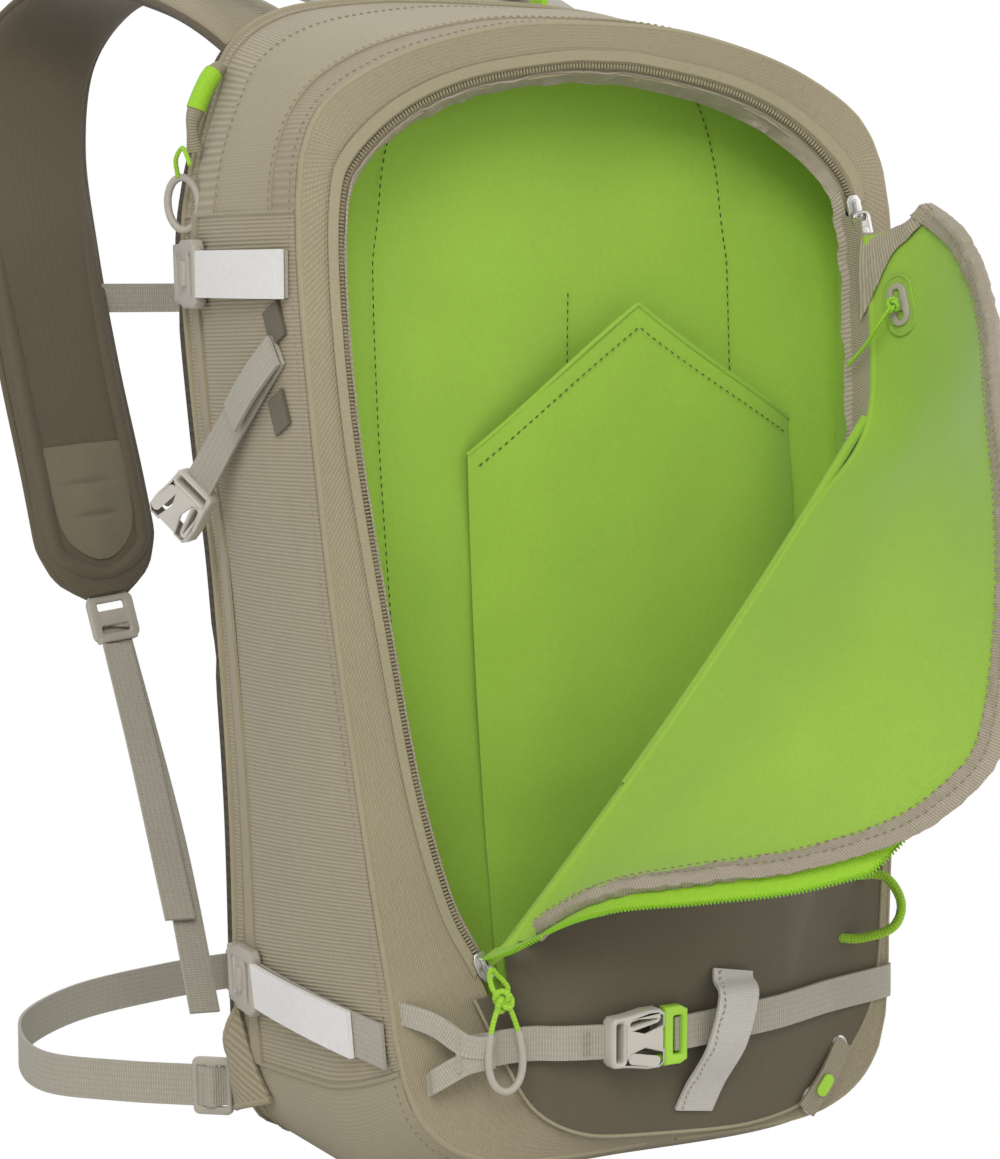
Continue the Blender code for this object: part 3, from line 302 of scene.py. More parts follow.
KEEPER_EDGE = 0.0006
KEEPER_RISE = 0.0024
KEEPER_CLEAR = 0.0036
STRAP_LIFT = 0.0024
PAD_END = 0.06
PAD_SQUARENESS = 0.55
PAD_FLATNESS = 0.75
AXE_LOOP_HIGH = 0.138
AXE_LOOP_LOW = 0.112
AXE_LOOP_RADIUS = 0.0022
AXE_LOOP_REACH = 0.018
AXE_LOOP_SHIFT = 0.010
COMPRESSION_Y = -0.030
COMPRESSION_Z = 0.376
COMPRESSION_DROP = Vector((0, 0.080, -0.060))
COMPRESSION_TURN = 0.8
BUCKLE_SEAT = 0.0026
SIDE_SEAT = 0.0008
BACK_OUTLINE = [
    (0, 0), (0.60, 0), (0.745, 0.010), (0.82, 0.05), (0.835, 0.12), (0.85, 0.30), (0.90, 0.50),
    (0.955, 0.62), (1.0, 0.765), (0.975, 0.84), (0.90, 0.912), (0.83, 0.956), (0.66, 0.985),
    (0.35, 0.998), (0, 1.0),
]
SEAM_OUTLINE = [
    (0, 0), (0.45, 0), (0.66, 0.016), (0.78, 0.05), (0.83, 0.10), (0.85, 0.16), (0.895, 0.286),
    (0.96, 0.50), (1.0, 0.732), (1.0, 0.83), (0.98, 0.878), (0.915, 0.919), (0.78, 0.949),
    (0.58, 0.975), (0.28, 0.996), (0, 1.0),
]
ZIP_OUTLINE = [
    (0, 0), (0.28, 0.006), (0.47, 0.04), (0.57, 0.10), (0.657, 0.166), (0.752, 0.223),
    (0.84, 0.326), (0.905, 0.46), (0.978, 0.64), (1.0, 0.774), (0.985, 0.862), (0.927, 0.905),
    (0.737, 0.951), (0.489, 0.981), (0.16, 0.998), (0, 1.0),
]
FLAP_EDGE = vectors([
    (-0.084, -0.108, 0.122), (-0.080, -0.117, 0.133), (-0.062, -0.146, 0.152),
    (-0.036, -0.180, 0.161), (-0.008, -0.212, 0.169), (0.017, -0.245, 0.184),
    (0.034, -0.262, 0.201), (0.047, -0.270, 0.223), (0.060, -0.262, 0.271),
    (0.075, -0.240, 0.317), (0.095, -0.205, 0.360), (0.120, -0.165, 0.397),
    (0.137, -0.125, 0.425), (0.149, -0.080, 0.440), (0.150, -0.066, 0.441),
])
PAD_LINE = vectors([
    (-0.062, 0.1112, 0.474), (-0.072, 0.140, 0.512), (-0.085, 0.185, 0.537),
    (-0.100, 0.245, 0.553), (-0.112, 0.300, 0.550), (-0.125, 0.335, 0.522),
    (-0.133, 0.332, 0.474), (-0.139, 0.300, 0.420), (-0.138, 0.275, 0.360),
    (-0.134, 0.255, 0.306), (-0.130, 0.243, 0.262), (-0.128, 0.238, 0.245),
])
BELT_LINE = vectors([
    (-0.138, 0.110, 0.020), (-0.163, 0.136, 0.019), (-0.188, 0.172, 0.018),
    (-0.186, 0.215, 0.018), (-0.165, 0.262, 0.018), (-0.120, 0.303, 0.018),
    (-0.060, 0.325, 0.018), (-0.0215, 0.331, 0.018),
])
X = Vector((1, 0, 0))
Y = Vector((0, 1, 0))
Z = Vector((0, 0, 1))
SIDES = ((-1, "left"), (1, "right"))
HALVINGS = 40
NUDGE = 0.01
WIDE_NUDGE = 0.02


def mirrored(point):
    return Vector((-point.x, point.y, point.z))


def clamped(value):
    return min(max(value, 0), 1)


def between(low, high, share):
    return low + (high - low) * share


def hump(share):
    """Rises smoothly from 0 to 1 at the middle and falls back."""
    return math.sin(math.pi * share)


def square_to(vector, axis):
    """The direction of a vector once its part along the axis is taken away."""
    return (vector - axis * vector.dot(axis)).normalized()


def sampled(place, count):
    """Places at even shares from 0 to 1."""
    return [place(i / count) for i in range(count + 1)]


def angles(count):
    """Even angles once round a circle."""
    return [2 * math.pi * i / count for i in range(count)]


def through(points, t):
    """A smooth curve through the points, at a share t of the way in equal steps from point to point."""
    last = len(points) - 1
    at = clamped(t) * last
    i = min(int(at), last - 1)
    f = at - i
    p0, p1, p2, p3 = (points[min(max(k, 0), last)] for k in (i - 1, i, i + 1, i + 2))
    return 0.5 * (
        2 * p1 + (p2 - p0) * f + (2 * p0 - 5 * p1 + 4 * p2 - p3) * f**2
        + (3 * p1 - p0 - 3 * p2 + p3) * f**3
    )


class Route:
    """A smooth curve through a few points, read at even lengths."""

    def __init__(self, points, steps=120):
        self.places = sampled(lambda t: through(points, t), steps)
        self.run = [0.0]
        for a, b in zip(self.places, self.places[1:]):
            self.run.append(self.run[-1] + (b - a).length)

    def at(self, share):
        want = clamped(share) * self.run[-1]
        i = min(max(bisect.bisect_left(self.run, want), 1), len(self.run) - 1)
        step = self.run[i] - self.run[i - 1]
        f = (want - self.run[i - 1]) / step if step else 0
        return self.places[i - 1].lerp(self.places[i], f)

    def along(self, share):
        return (self.at(share + NUDGE) - self.at(share - NUDGE)).normalized()


def outline(shares):
    return Route([Vector((x, 0, z)) for x, z in shares])


BACK_LINE = outline(BACK_OUTLINE)
SEAM_LINE = outline(SEAM_OUTLINE)
ZIP_LINE = outline(ZIP_OUTLINE)


def back_point(s):
    share = BACK_LINE.at(s)
    return Vector((share.x * BACK_HALF_WIDTH, BACK_Y, share.z * BACK_HEIGHT))


def seam_point(s):
    share = SEAM_LINE.at(s)
    y = SEAM_Y_TOP - SEAM_Y_FALL * max(0, 1 - share.z) ** SEAM_FALL_CURVE
    return Vector((share.x * SEAM_HALF_WIDTH, y, between(SEAM_BOTTOM, SEAM_TOP, share.z)))


def zip_point(s, inset=0.0):
    """The zip loop on the right half, or a loop that lies inset inside it."""
    share = ZIP_LINE.at(s)
    y = ZIP_Y_TOP - ZIP_Y_FALL * max(0, 1 - share.z) ** ZIP_FALL_CURVE
    z = between(ZIP_BOTTOM + inset, ZIP_TOP - inset, share.z)
    return Vector((share.x * (ZIP_HALF_WIDTH - inset), y, z))


def last_share(holds):
    """The share from 0 to 1 up to which a test holds, found by halving."""
    low, high = 0.0, 1.0
    for _ in range(HALVINGS):
        middle = (low + high) / 2
        if holds(middle):
            low = middle
        else:
            high = middle
    return (low + high) / 2


def share_at_height(curve, z):
    return last_share(lambda s: curve(s).z < z)


def zip_at_height(z, inset=0.0):
    return zip_point(share_at_height(zip_point, z), inset)


def on_side(point, side):
    return point if side > 0 else mirrored(point)


def tunnel(s, v, side=1):
    """Middle of the fabric that runs from the back edge (v = 0) to the front seam (v = 1)."""
    back, seam = back_point(s), seam_point(s)
    flat = clamped(1 - back.z / FOOT_FADE)
    rise = max(0, (v - FOOT_SHARE) / (1 - FOOT_SHARE)) ** FOOT_CURVE
    lift = v * (1 - flat) + rise * flat
    swell = SIDE_BULGE * hump(v) * (1 - flat)
    place = Vector((
        back.x + (seam.x - back.x) * v + swell * back.x / BACK_HALF_WIDTH,
        back.y + (seam.y - back.y) * v,
        back.z + (seam.z - back.z) * lift + PANEL / 2,
    ))
    return on_side(place, side)


def side_frame(y, z, side):
    """Point on the outside of a side panel, with the direction out of it."""
    def depth(s):
        return clamped((BACK_Y - y) / (BACK_Y - seam_point(s).y))

    s = last_share(lambda s: tunnel(s, depth(s)).z < z)
    v = depth(s)
    forward = tunnel(s, min(v + WIDE_NUDGE, 1)) - tunnel(s, v - WIDE_NUDGE)
    out = forward.cross(tunnel(s + NUDGE, v) - tunnel(s - NUDGE, v)).normalized()
    if out.x < 0:
        out = -out
    return on_side(tunnel(s, v) + out * PANEL / 2, side), on_side(out, side)


def frame_matrix(origin, along, out):
    """Local X along, local Z out of the face, at the origin given."""
    along = square_to(along, out)
    turn = Matrix((along, out.cross(along), out)).transposed().to_4x4()
    return Matrix.Translation(origin) @ turn


def rounded(width, height, corner, centre=(0, 0), steps=2):
    """Corner-rounded rectangle as a list of points."""
    points = []
    for turn, (sx, sy) in enumerate(((1, 1), (-1, 1), (-1, -1), (1, -1))):
        for step in range(steps + 1):
            angle = (turn + step / steps) * math.pi / 2
            points.append((
                centre[0] + sx * (width / 2 - corner) + corner * math.cos(angle),
                centre[1] + sy * (height / 2 - corner) + corner * math.sin(angle),
            ))
    return points


LEFT_END = mirrored(zip_at_height(SLIDER_LEFT_Z, CHAIN_INSET))
RIGHT_END = zip_at_height(SLIDER_RIGHT_Z, CHAIN_INSET)
FOLD_RIGHT = zip_at_height(FOLD_RIGHT_Z, PANEL_INSET) - Y * FOLD_RIGHT_OUT
FOLD_LEFT = mirrored(zip_at_height(SLIDER_LEFT_Z, PANEL_INSET)) - Y * FOLD_LEFT_OUT
FOLD_TOP = RIGHT_END + Vector((-0.002, -0.010, 0))


def signed_loop(curve, t):
    """A loop point from a signed share: negative on the left half."""
    return on_side(curve(abs(t)), 1 if t >= 0 else -1)


def row_height(low, high, w):
    """Heights of a wall's rows, closer together under the domed top."""
    return between(low, high, 1 - (1 - w) ** ROW_CROWDING)


@functools.lru_cache(maxsize=None)
def wall_edge(z, share):
    """Where a wall across the body meets the side at a height, and how its slant widens an inset."""
    s = share_at_height(lambda s: tunnel(s, share), z)
    slope = tunnel(s + 0.004, share) - tunnel(s - 0.004, share)
    return tunnel(s, share), slope.length / max(slope.z, 1e-4)


def wall_point(f, z, share, inset, depth):
    """Point on a wall across the body at a share of its depth, f from -1 (left) to 1 (right)."""
    edge, slant = wall_edge(z, share)
    inset *= slant
    bow = (1 - f * f) * hump(z / SEAM_TOP) ** WALL_BOW_CURVE
    return Vector(((edge.x - inset) * f, edge.y + depth * bow, z))


def divider_point(f, z):
    """The pocket's rear wall, drawn further in under the domed top."""
    dome = clamped((z - SIDE_TOP + DOME_BLEND) / DOME_BLEND)
    inset = PANEL / 2 + DIVIDER_SEAT + DIVIDER_DOME_CLEAR * dome
    return wall_point(f, z, POCKET_SHARE, inset, POCKET_DEPTH)


PANEL_START = -share_at_height(zip_point, SLIDER_LEFT_Z)
PANEL_END = share_at_height(zip_point, FOLD_RIGHT_Z)


def trimmed(u):
    """A share that stops a little short of both ends."""
    return EDGE_TRIM + (1 - 2 * EDGE_TRIM) * u


def fold_point(u):
    """The straight fold between the open flap and the lower front panel, bowed a little outwards."""
    return FOLD_LEFT.lerp(FOLD_RIGHT, u) - Y * FOLD_BULGE * hump(u)


def panel_point(u, w):
    """Closed lower front panel: w = 0 on the fold, w = 1 at the zip and the base."""
    u = trimmed(u)
    fold = fold_point(u)
    edge = signed_loop(lambda s: zip_point(s, PANEL_INSET), between(PANEL_START, PANEL_END, u))
    full = hump(u) ** PANEL_FULLNESS * hump(w) ** PANEL_FULLNESS
    place = fold.lerp(edge, w)
    place.y -= FRONT_BULGE * full
    return place


PANEL_SAMPLES = [panel_point(i / 60, j / 40) for i in range(61) for j in range(41)]


def front_at(x, z, out):
    """Point at a distance out of the front panel, over the part of it nearest to this x and z."""
    nearest = sorted(PANEL_SAMPLES, key=lambda p: (p.x - x) ** 2 + (p.z - z) ** 2)[:4]
    y = sum(p.y for p in nearest) / len(nearest)
    return Vector((x, y - PANEL / 2 - out, z))


FOLD_ROUTE = Route(sampled(fold_point, 5) + [FOLD_TOP])
FREE_ROUTE = Route(FLAP_EDGE)


def flap_point(u, w):
    """Open flap: w = 0 on the fold, w = 1 at its free edge."""
    u = trimmed(u)
    fold = FOLD_ROUTE.at(u) - Y * FOLD_STEP
    edge = FREE_ROUTE.at(u)
    reach = (edge - fold).length
    bend = fold + Vector((FLAP_BOW_SIDE, -FLAP_BOW * reach, 0.0))
    return (1 - w) ** 2 * fold + 2 * w * (1 - w) * bend + w * w * edge


def flap_out(u, w):
    """Direction out of the flap's lining."""
    along = flap_point(u + WIDE_NUDGE, w) - flap_point(u - WIDE_NUDGE, w)
    out = along.cross(flap_point(u, w + WIDE_NUDGE) - flap_point(u, w - WIDE_NUDGE)).normalized()
    return out if out.x < 0 else -out


def pad_section(t, angle):
    """Point round a shoulder pad's section, which narrows and thins towards both ends."""
    end = math.sqrt(max(min(1, t / 0.08, (1 - t) / 0.05), 0))
    half = HARNESS_WIDTH / 2 * between(0.80, 1, min(1, t / 0.35)) * between(0.72, 1, end)
    half *= between(0.45, 1, math.sqrt(1 - max(0, (t - 1 + PAD_END) / PAD_END) ** 2))
    thick = HARNESS_THICK / 2 * between(0.7, 1, end)
    cos, sin = math.cos(angle), math.sin(angle)
    return (
        half * math.copysign(abs(cos) ** PAD_SQUARENESS, cos),
        thick * math.copysign(abs(sin) ** PAD_FLATNESS, sin),
    )


# Trim, stitching and tapes
SHARP = 42
STITCH = 0.0024
STITCH_GAP = 0.0014
THREAD = 0.0002
TOOTH_PITCH = 0.0016
TOOTH_SHARE = 0.72
TOOTH_RISE = 0.8
BEADS_AT_ONCE = 40
MERGE = 1e-6
SHEET_LINES = (0, 0.25, 0.5, 0.75, 1)
SEAM_ALLOWANCE = 1.02
LEAST_FILL = 0.31
LAYER = 0.0007
RING_TAB_Z = 0.066
TOP_FRONT = 0.84
TOP_REAR = 0.34
TOP_LAP = 0.02
TOP_STITCH = 0.016
REAR_STRIP = (0.10, 0.17)
LINING_SEAM_LOW = 0.12
FLAP_LINING = 0.0009
TAPE_SHOWN = 0.0115
TAPE_OUTER = -0.0035
TAPE_INNER = 0.0070
TAPE_TUCK = 0.0038
BINDING_LIFT = 0.0026
BINDING_REACH = 0.011
BINDING_OVER = 0.0012
BINDING_PUCKER = 0.0018
LAP_START = -0.10
LAP_RUN = 0.22
LAP_FROM = 0.86
LAP_LEFT = 0.16
LAP_RIGHT = 0.74
FRONT_LAP_RISE = 0.0028
TAPE = 0.0006
THIN = 0.0008
LINING = 0.001
PIPING = 0.0011
LOOP_GAP = 0.02
WALL_START = 0.10
SEAM_STITCH = 0.965
SEAM_STITCH_START = 0.12
MAIN_ZIP_LEVEL = 0.075
MAIN_ZIP_STARTS = (0.14, 1.0)
MAIN_ZIP_RUN = 0.86
SLACK = 0.0012
HINGE_FORWARD = square_to(-Y, (RIGHT_END - LEFT_END).normalized())


def flap_turn(start, end):
    """The flap's hinge as a soft turn, from and to these distances in front of its line."""
    return "pack", "flap", LEFT_END + HINGE_FORWARD * start, LEFT_END + HINGE_FORWARD * end


FLAP_TURN = flap_turn(0.005, 0.042)
GUSSET_TURN = flap_turn(0.004, 0.060)


def tone(red, green, blue):
    """A colour as it is seen, from 0 to 255, as linear light."""
    seen = Color((red / 255, green / 255, blue / 255)).from_srgb_to_scene_linear()
    return (seen.r, seen.g, seen.b, 1)


class Sketch:
    """Adds and joins the nodes of one material or node group."""

    def __init__(self, tree):
        self.tree = tree

    def add(self, kind, **settings):
        node = self.tree.nodes.new(kind if kind.startswith("Node") else "ShaderNode" + kind)
        for name, value in settings.items():
            setattr(node, name, value)
        return node

    def join(self, source, target):
        if isinstance(source, bpy.types.NodeSocket):
            self.tree.links.new(source, target)
        else:
            target.default_value = source

    def math(self, operation, *values):
        node = self.add("Math", operation=operation)
        for socket, value in zip(node.inputs, values):
            self.join(value, socket)
        return node.outputs[0]

    def scaled(self, colour, factor):
        node = self.add("VectorMath", operation="SCALE")
        self.join(colour, node.inputs[0])
        self.join(factor, node.inputs["Scale"])
        return node.outputs[0]

    def noise(self, place, scale, detail=2):
        node = self.add("TexNoise")
        self.join(place, node.inputs["Vector"])
        node.inputs["Scale"].default_value = scale
        node.inputs["Detail"].default_value = detail
        return node.outputs["Fac"]

    def group(self, name, **values):
        node = self.add("Group", node_tree=bpy.data.node_groups[name])
        for label, value in values.items():
            self.join(value, node.inputs[label])
        return node


def new_group(name, inputs, outputs):
    tree = bpy.data.node_groups.new(name, "ShaderNodeTree")
    for in_out, sockets in (("INPUT", inputs), ("OUTPUT", outputs)):
        for label, kind in sockets:
            tree.interface.new_socket(name=label, in_out=in_out, socket_type="NodeSocket" + kind)
    sketch = Sketch(tree)
    return sketch, sketch.add("NodeGroupInput").outputs, sketch.add("NodeGroupOutput").inputs


def wave(sketch, value, pitch):
    """A smooth rise and fall from 0 to 1 once every pitch."""
    turns = sketch.math("MULTIPLY", sketch.math("DIVIDE", value, pitch), 2 * math.pi)
    return sketch.math("MULTIPLY_ADD", sketch.math("SINE", turns), 0.5, 0.5)


def weave_group():
    """Ribs along the cloth's first direction, broken into dots by the threads that cross them."""
    sketch, given, out = new_group(
        "Weave", [("Pitch", "Float"), ("Thread", "Float"), ("Cross", "Float")], [("Height", "Float")])
    place = sketch.add("TexCoord").outputs["UV"]
    parts = sketch.add("SeparateXYZ")
    sketch.join(place, parts.inputs[0])
    rib = wave(sketch, parts.outputs["X"], given["Pitch"])
    thread = wave(sketch, parts.outputs["Y"], given["Thread"])
    loss = sketch.math("MULTIPLY", given["Cross"], sketch.math("SUBTRACT", 1, thread))
    height = sketch.math("MULTIPLY", rib, sketch.math("SUBTRACT", 1, loss))
    fuzz = sketch.math("MULTIPLY", sketch.noise(place, 1400), 0.22)
    sketch.join(sketch.math("ADD", height, fuzz), out["Height"])


def cloth_tone_group():
    """Darkens the hollows of a weave with painted shade and lets the dye and the roughness vary over the piece."""
    sketch, given, out = new_group(
        "Cloth tone", [("Color", "Color"), ("Height", "Float"), ("Groove", "Float")],
        [("Color", "Color"), ("Roughness", "Float")])
    place = sketch.add("TexCoord").outputs["Object"]
    hollow = sketch.math("SUBTRACT", 1, given["Height"])
    # Painted shade: the colour is darkened in the weave's hollows, where shade would fall.
    shade = sketch.math("SUBTRACT", 1.06, sketch.math("MULTIPLY", given["Groove"], hollow))
    patch = sketch.math("MULTIPLY_ADD", sketch.noise(place, 14), 0.16, 0.92)
    fleck = sketch.math("MULTIPLY_ADD", sketch.noise(place, 420), 0.14, 0.93)
    dye = sketch.math("MULTIPLY", sketch.math("MULTIPLY", patch, fleck), shade)
    sketch.join(sketch.scaled(given["Color"], dye), out["Color"])
    sketch.join(sketch.math("MULTIPLY_ADD", patch, 0.35, 0.42), out["Roughness"])


def moulding_group():
    """Fine spark texture, faint mottling and handling scuffs on moulded plastic and metal."""
    sketch, given, out = new_group(
        "Moulding", [("Color", "Color"), ("Shine", "Float")],
        [("Color", "Color"), ("Roughness", "Float"), ("Height", "Float")])
    place = sketch.add("TexCoord").outputs["Object"]
    scuff = sketch.noise(place, 120, 4)
    grain = sketch.noise(place, 2600, 1)
    mottle = sketch.math("MULTIPLY_ADD", scuff, 0.16, 0.92)
    sketch.join(sketch.scaled(given["Color"], mottle), out["Color"])
    sketch.join(sketch.math("MULTIPLY_ADD", scuff, 0.3, given["Shine"]), out["Roughness"])
    sketch.join(grain, out["Height"])


SLOT_OF = {}


def blank(name, slot=None):
    """A new material, with the slot that the pieces made of it take."""
    material = bpy.data.materials.new(name)
    material.use_nodes = True
    SLOT_OF[material.name] = slot
    return material, Sketch(material.node_tree), material.node_tree.nodes["Principled BSDF"].inputs


def relief(sketch, height, depth, shader, strength=1.0):
    bump = sketch.add("Bump")
    bump.inputs["Strength"].default_value = strength
    bump.inputs["Distance"].default_value = depth
    sketch.join(height, bump.inputs["Height"])
    sketch.join(bump.outputs["Normal"], shader["Normal"])


def coloured(sketch, shader, group):
    """Joins the colour and roughness that a group makes to the shader."""
    sketch.join(group.outputs["Color"], shader["Base Color"])
    sketch.join(group.outputs["Roughness"], shader["Roughness"])


def cloth_finish(name, slot, colour, weave, sheen=0.15):
    pitch, thread, cross, groove, depth = weave
    material, sketch, shader = blank(name, slot)
    height = sketch.group("Weave", Pitch=pitch, Thread=thread, Cross=cross).outputs["Height"]
    # The weave's groove value sets how much painted shade darkens its hollows.
    coloured(sketch, shader, sketch.group("Cloth tone", Color=colour, Height=height, Groove=groove))
    shader["Sheen Weight"].default_value = sheen
    shader["Sheen Roughness"].default_value = 0.5
    shader["Specular IOR Level"].default_value = 0.3
    relief(sketch, height, depth, shader, 0.8)
    return material


def moulded_finish(name, slot, colour, shine, metallic=0.0):
    material, sketch, shader = blank(name, slot)
    skin = sketch.group("Moulding", Color=colour, Shine=shine)
    coloured(sketch, shader, skin)
    shader["Metallic"].default_value = metallic
    relief(sketch, skin.outputs["Height"], 0.00008, shader, 0.5)
    return material


def spacer_mesh(name, slot, colour):
    """Knitted mesh with open cells over foam, the cells darkened with painted shade."""
    material, sketch, shader = blank(name, slot)
    cells = sketch.add("TexVoronoi", feature="SMOOTH_F1")
    sketch.join(sketch.add("TexCoord").outputs["UV"], cells.inputs["Vector"])
    cells.inputs["Scale"].default_value = 300
    cells.inputs["Randomness"].default_value = 0.25
    rim = sketch.math("MULTIPLY", cells.outputs["Distance"], 1.6)
    coloured(sketch, shader, sketch.group("Cloth tone", Color=colour, Height=rim, Groove=0.75))
    relief(sketch, rim, 0.0008, shader)
    return material


weave_group()
cloth_tone_group()
moulding_group()

# Weaves: rib and thread pitch, how far the threads break the ribs, shade and depth of the grooves
RIBBED = (0.0018, 0.0012, 0.30, 0.34, 0.0005)
TWILL = (0.0014, 0.0014, 0.75, 0.30, 0.0004)
SMOOTH = (0.0007, 0.0007, 0.5, 0.12, 0.00012)
DIAGONAL = (0.0026, 0.0013, 0.3, 0.36, 0.0006)
GROSGRAIN = (0.0012, 0.0024, 0.3, 0.36, 0.00035)
SHEER = (0.0005, 0.0005, 0.5, 0.08, 0.00006)
ZIP_TAPE = (0.0011, 0.0016, 0.5, 0.25, 0.0002)
BRAID = (0.0016, 0.0016, 0.8, 0.3, 0.0003)
PLAIN = (0.0008, 0.0008, 0.5, 0.16, 0.00014)
PADDED = (0.0009, 0.0011, 0.6, 0.2, 0.0002)
NARROW = (0.0013, 0.0026, 0.55, 0.3, 0.0004)
COATING = (0.0012, 0.0012, 0.5, 0.06, 0.0001)
SPUN = (0.0008, 0.0004, 0.5, 0.3, 0.0001)
PALE_RIB = (0.0011, 0.0022, 0.5, 0.14, 0.0002)

TAN_RIBBED = cloth_finish("tan_ribbed", "tan_fabric", tone(172, 160, 133), RIBBED)
TAN_TWILL = cloth_finish("tan_twill", "tan_fabric", tone(165, 153, 126), TWILL)
TAN_SMOOTH = cloth_finish("tan_smooth", "tan_fabric", tone(160, 149, 122), SMOOTH)
TAN_DIAGONAL = cloth_finish("tan_diagonal", "tan_fabric", tone(166, 154, 127), DIAGONAL)
BINDING = cloth_finish("binding", "tan_fabric", tone(176, 164, 144), GROSGRAIN)
LIME_CLOTH = cloth_finish("lime_lining", "lime_lining", tone(152, 190, 66), SHEER, 0.3)
LIME_TAPE = cloth_finish("lime_tape", "lime_trim", tone(160, 212, 52), ZIP_TAPE)
LIME_CORD = cloth_finish("lime_cord", "lime_trim", tone(165, 216, 58), BRAID)
DARK_CLOTH = cloth_finish("dark_cloth", "dark_fabric", tone(100, 92, 74), PLAIN)
HARNESS_CLOTH = cloth_finish("harness_cloth", "harness_fabric", tone(102, 92, 74), PADDED)
WEBBING = cloth_finish("webbing", "webbing", tone(180, 174, 158), NARROW)
COATED = cloth_finish("coated_webbing", "coated_webbing", tone(228, 226, 223), COATING, 0.0)
TAN_WEBBING = cloth_finish("tan_webbing", "webbing", tone(160, 150, 126), NARROW)
DARK_THREAD = cloth_finish("dark_thread", "lime_lining", tone(66, 74, 34), SPUN)
TAN_THREAD = cloth_finish("tan_thread", "tan_fabric", tone(157, 146, 120), SPUN)
BACK_MESH = spacer_mesh("back_mesh", "back_mesh", tone(86, 76, 62))
GREY_PLASTIC = moulded_finish("grey_plastic", "grey_plastic", tone(176, 169, 156), 0.3)
PALE_PLASTIC = moulded_finish("pale_plastic", "pale_plastic", tone(196, 191, 180), 0.3)
LIME_PLASTIC = moulded_finish("lime_plastic", "lime_plastic", tone(165, 214, 62), 0.28)
COIL_PLASTIC = moulded_finish("coil_plastic", "slider_metal", tone(158, 147, 120), 0.35)
LIME_COIL = moulded_finish("lime_coil", "lime_trim", tone(140, 196, 34), 0.35)
BARE_METAL = moulded_finish("bare_metal", "slider_metal", tone(198, 196, 192), 0.18, 1.0)
PALE_TAPE = cloth_finish("pale_tape", "coated_webbing", tone(200, 196, 187), PALE_RIB)
PATCH_CLOTH = cloth_finish("pad_patch", "harness_fabric", tone(124, 116, 95), PLAIN)
SHEET_PLASTIC = moulded_finish("sheet_plastic", None, tone(38, 38, 38), 0.4)


def taken_mesh(name, bm):
    """Turns a bmesh into a mesh and lets go of it."""
    mesh = bpy.data.meshes.new(name)
    bm.to_mesh(mesh)
    bm.free()
    return mesh


def added(name, data):
    """A new object in the scene."""
    obj = bpy.data.objects.new(name, data)
    bpy.context.scene.collection.objects.link(obj)
    return obj


def evaluated_mesh(obj):
    """The mesh of an object once its modifiers or its curve settings are worked out."""
    graph = bpy.context.evaluated_depsgraph_get()
    return bpy.data.meshes.new_from_object(obj.evaluated_get(graph))


def carried(obj, slot, carrier, nodes):
    """Names the finish a piece takes, the body or pair of bodies it follows, and what it stands for."""
    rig.slot(obj, slot)
    if isinstance(carrier, tuple):
        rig.blend(obj, *carrier)
    else:
        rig.ride(obj, carrier)
    if nodes:
        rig.replaces(obj, *nodes)
    return obj


def finished(name, bm, material, carrier="pack", nodes=(), wall=0.0, edge=0.0, slot=None):
    """An object of a shaped bmesh, with a wall and rounded rims where they are given."""
    obj = added(name, taken_mesh(name, bm))
    if wall:
        thick = obj.modifiers.new("Wall", "SOLIDIFY")
        thick.thickness = wall
        thick.offset = 0
    if edge:
        soft = obj.modifiers.new("Edge", "BEVEL")
        soft.width = edge
        soft.segments = 2
        soft.limit_method = "ANGLE"
    if wall or edge:
        obj.data = evaluated_mesh(obj)
        obj.modifiers.clear()
    obj.data.materials.clear()
    obj.data.materials.append(material)
    obj.data.shade_smooth()
    obj.data.set_sharp_from_angle(angle=math.radians(SHARP))
    return carried(obj, slot or SLOT_OF[material.name], carrier, nodes)


def run_length(place, steps=24):
    points = sampled(place, steps)
    return sum((b - a).length for a, b in zip(points, points[1:]))


def laid_grid(columns, rows, place, turn=0.0):
    """A grid laid on a surface, with its weave map in metres along it; turn swings the weave round."""
    bm = bmesh.new()
    bmesh.ops.create_grid(bm, x_segments=columns, y_segments=rows, size=0.5)
    weave = bm.loops.layers.uv.new("Weave")
    wide = run_length(lambda t: place(t, 0.5))
    long = run_length(lambda t: place(0.5, t))
    spin = Matrix.Rotation(turn, 2)
    for face in bm.faces:
        for loop in face.loops:
            at = loop.vert.co
            loop[weave].uv = spin @ Vector(((at.x + 0.5) * wide, (at.y + 0.5) * long))
    for vert in bm.verts:
        vert.co = place(vert.co.x + 0.5, vert.co.y + 0.5)
    return bm


def crumple(bm, size, depth):
    """Slack waves over a cloth, pushed along its normals."""
    bm.normal_update()
    for vert in bm.verts:
        vert.co += vert.normal * depth * noise.noise(vert.co / size)


def cloth(name, columns, rows, place, material, wall=PANEL, slack=None, turn=0.0, **carry):
    bm = laid_grid(columns, rows, place, turn)
    if slack:
        crumple(bm, *slack)
    return finished(name, bm, material, wall=wall, **carry)


def declare_sheet(obj, place, held, *carriers):
    """States the flat size a cloth was cut to: its longest runs each way and a little over, and its area."""
    columns = [run_length(lambda t, w=w: place(t, w)) for w in SHEET_LINES]
    rows = [run_length(lambda t, u=u: place(u, t)) for u in SHEET_LINES]
    across = sum((a + b) / 2 for a, b in zip(columns, columns[1:])) / (len(columns) - 1)
    area = across * sum(rows) / len(rows)
    flat = (max(columns) * SEAM_ALLOWANCE, max(rows) * SEAM_ALLOWANCE)
    whole = flat[0] * flat[1]
    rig.sheet(obj, flat, held, carriers, max(LEAST_FILL * whole, min(area, whole)))


def declare_cord(piece, points, count, **facts):
    """States a cord's facts, with the length and path of its route."""
    route = Route(points)
    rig.cord(piece, exit=points[0], length=route.run[-1], path=sampled(route.at, count), **facts)


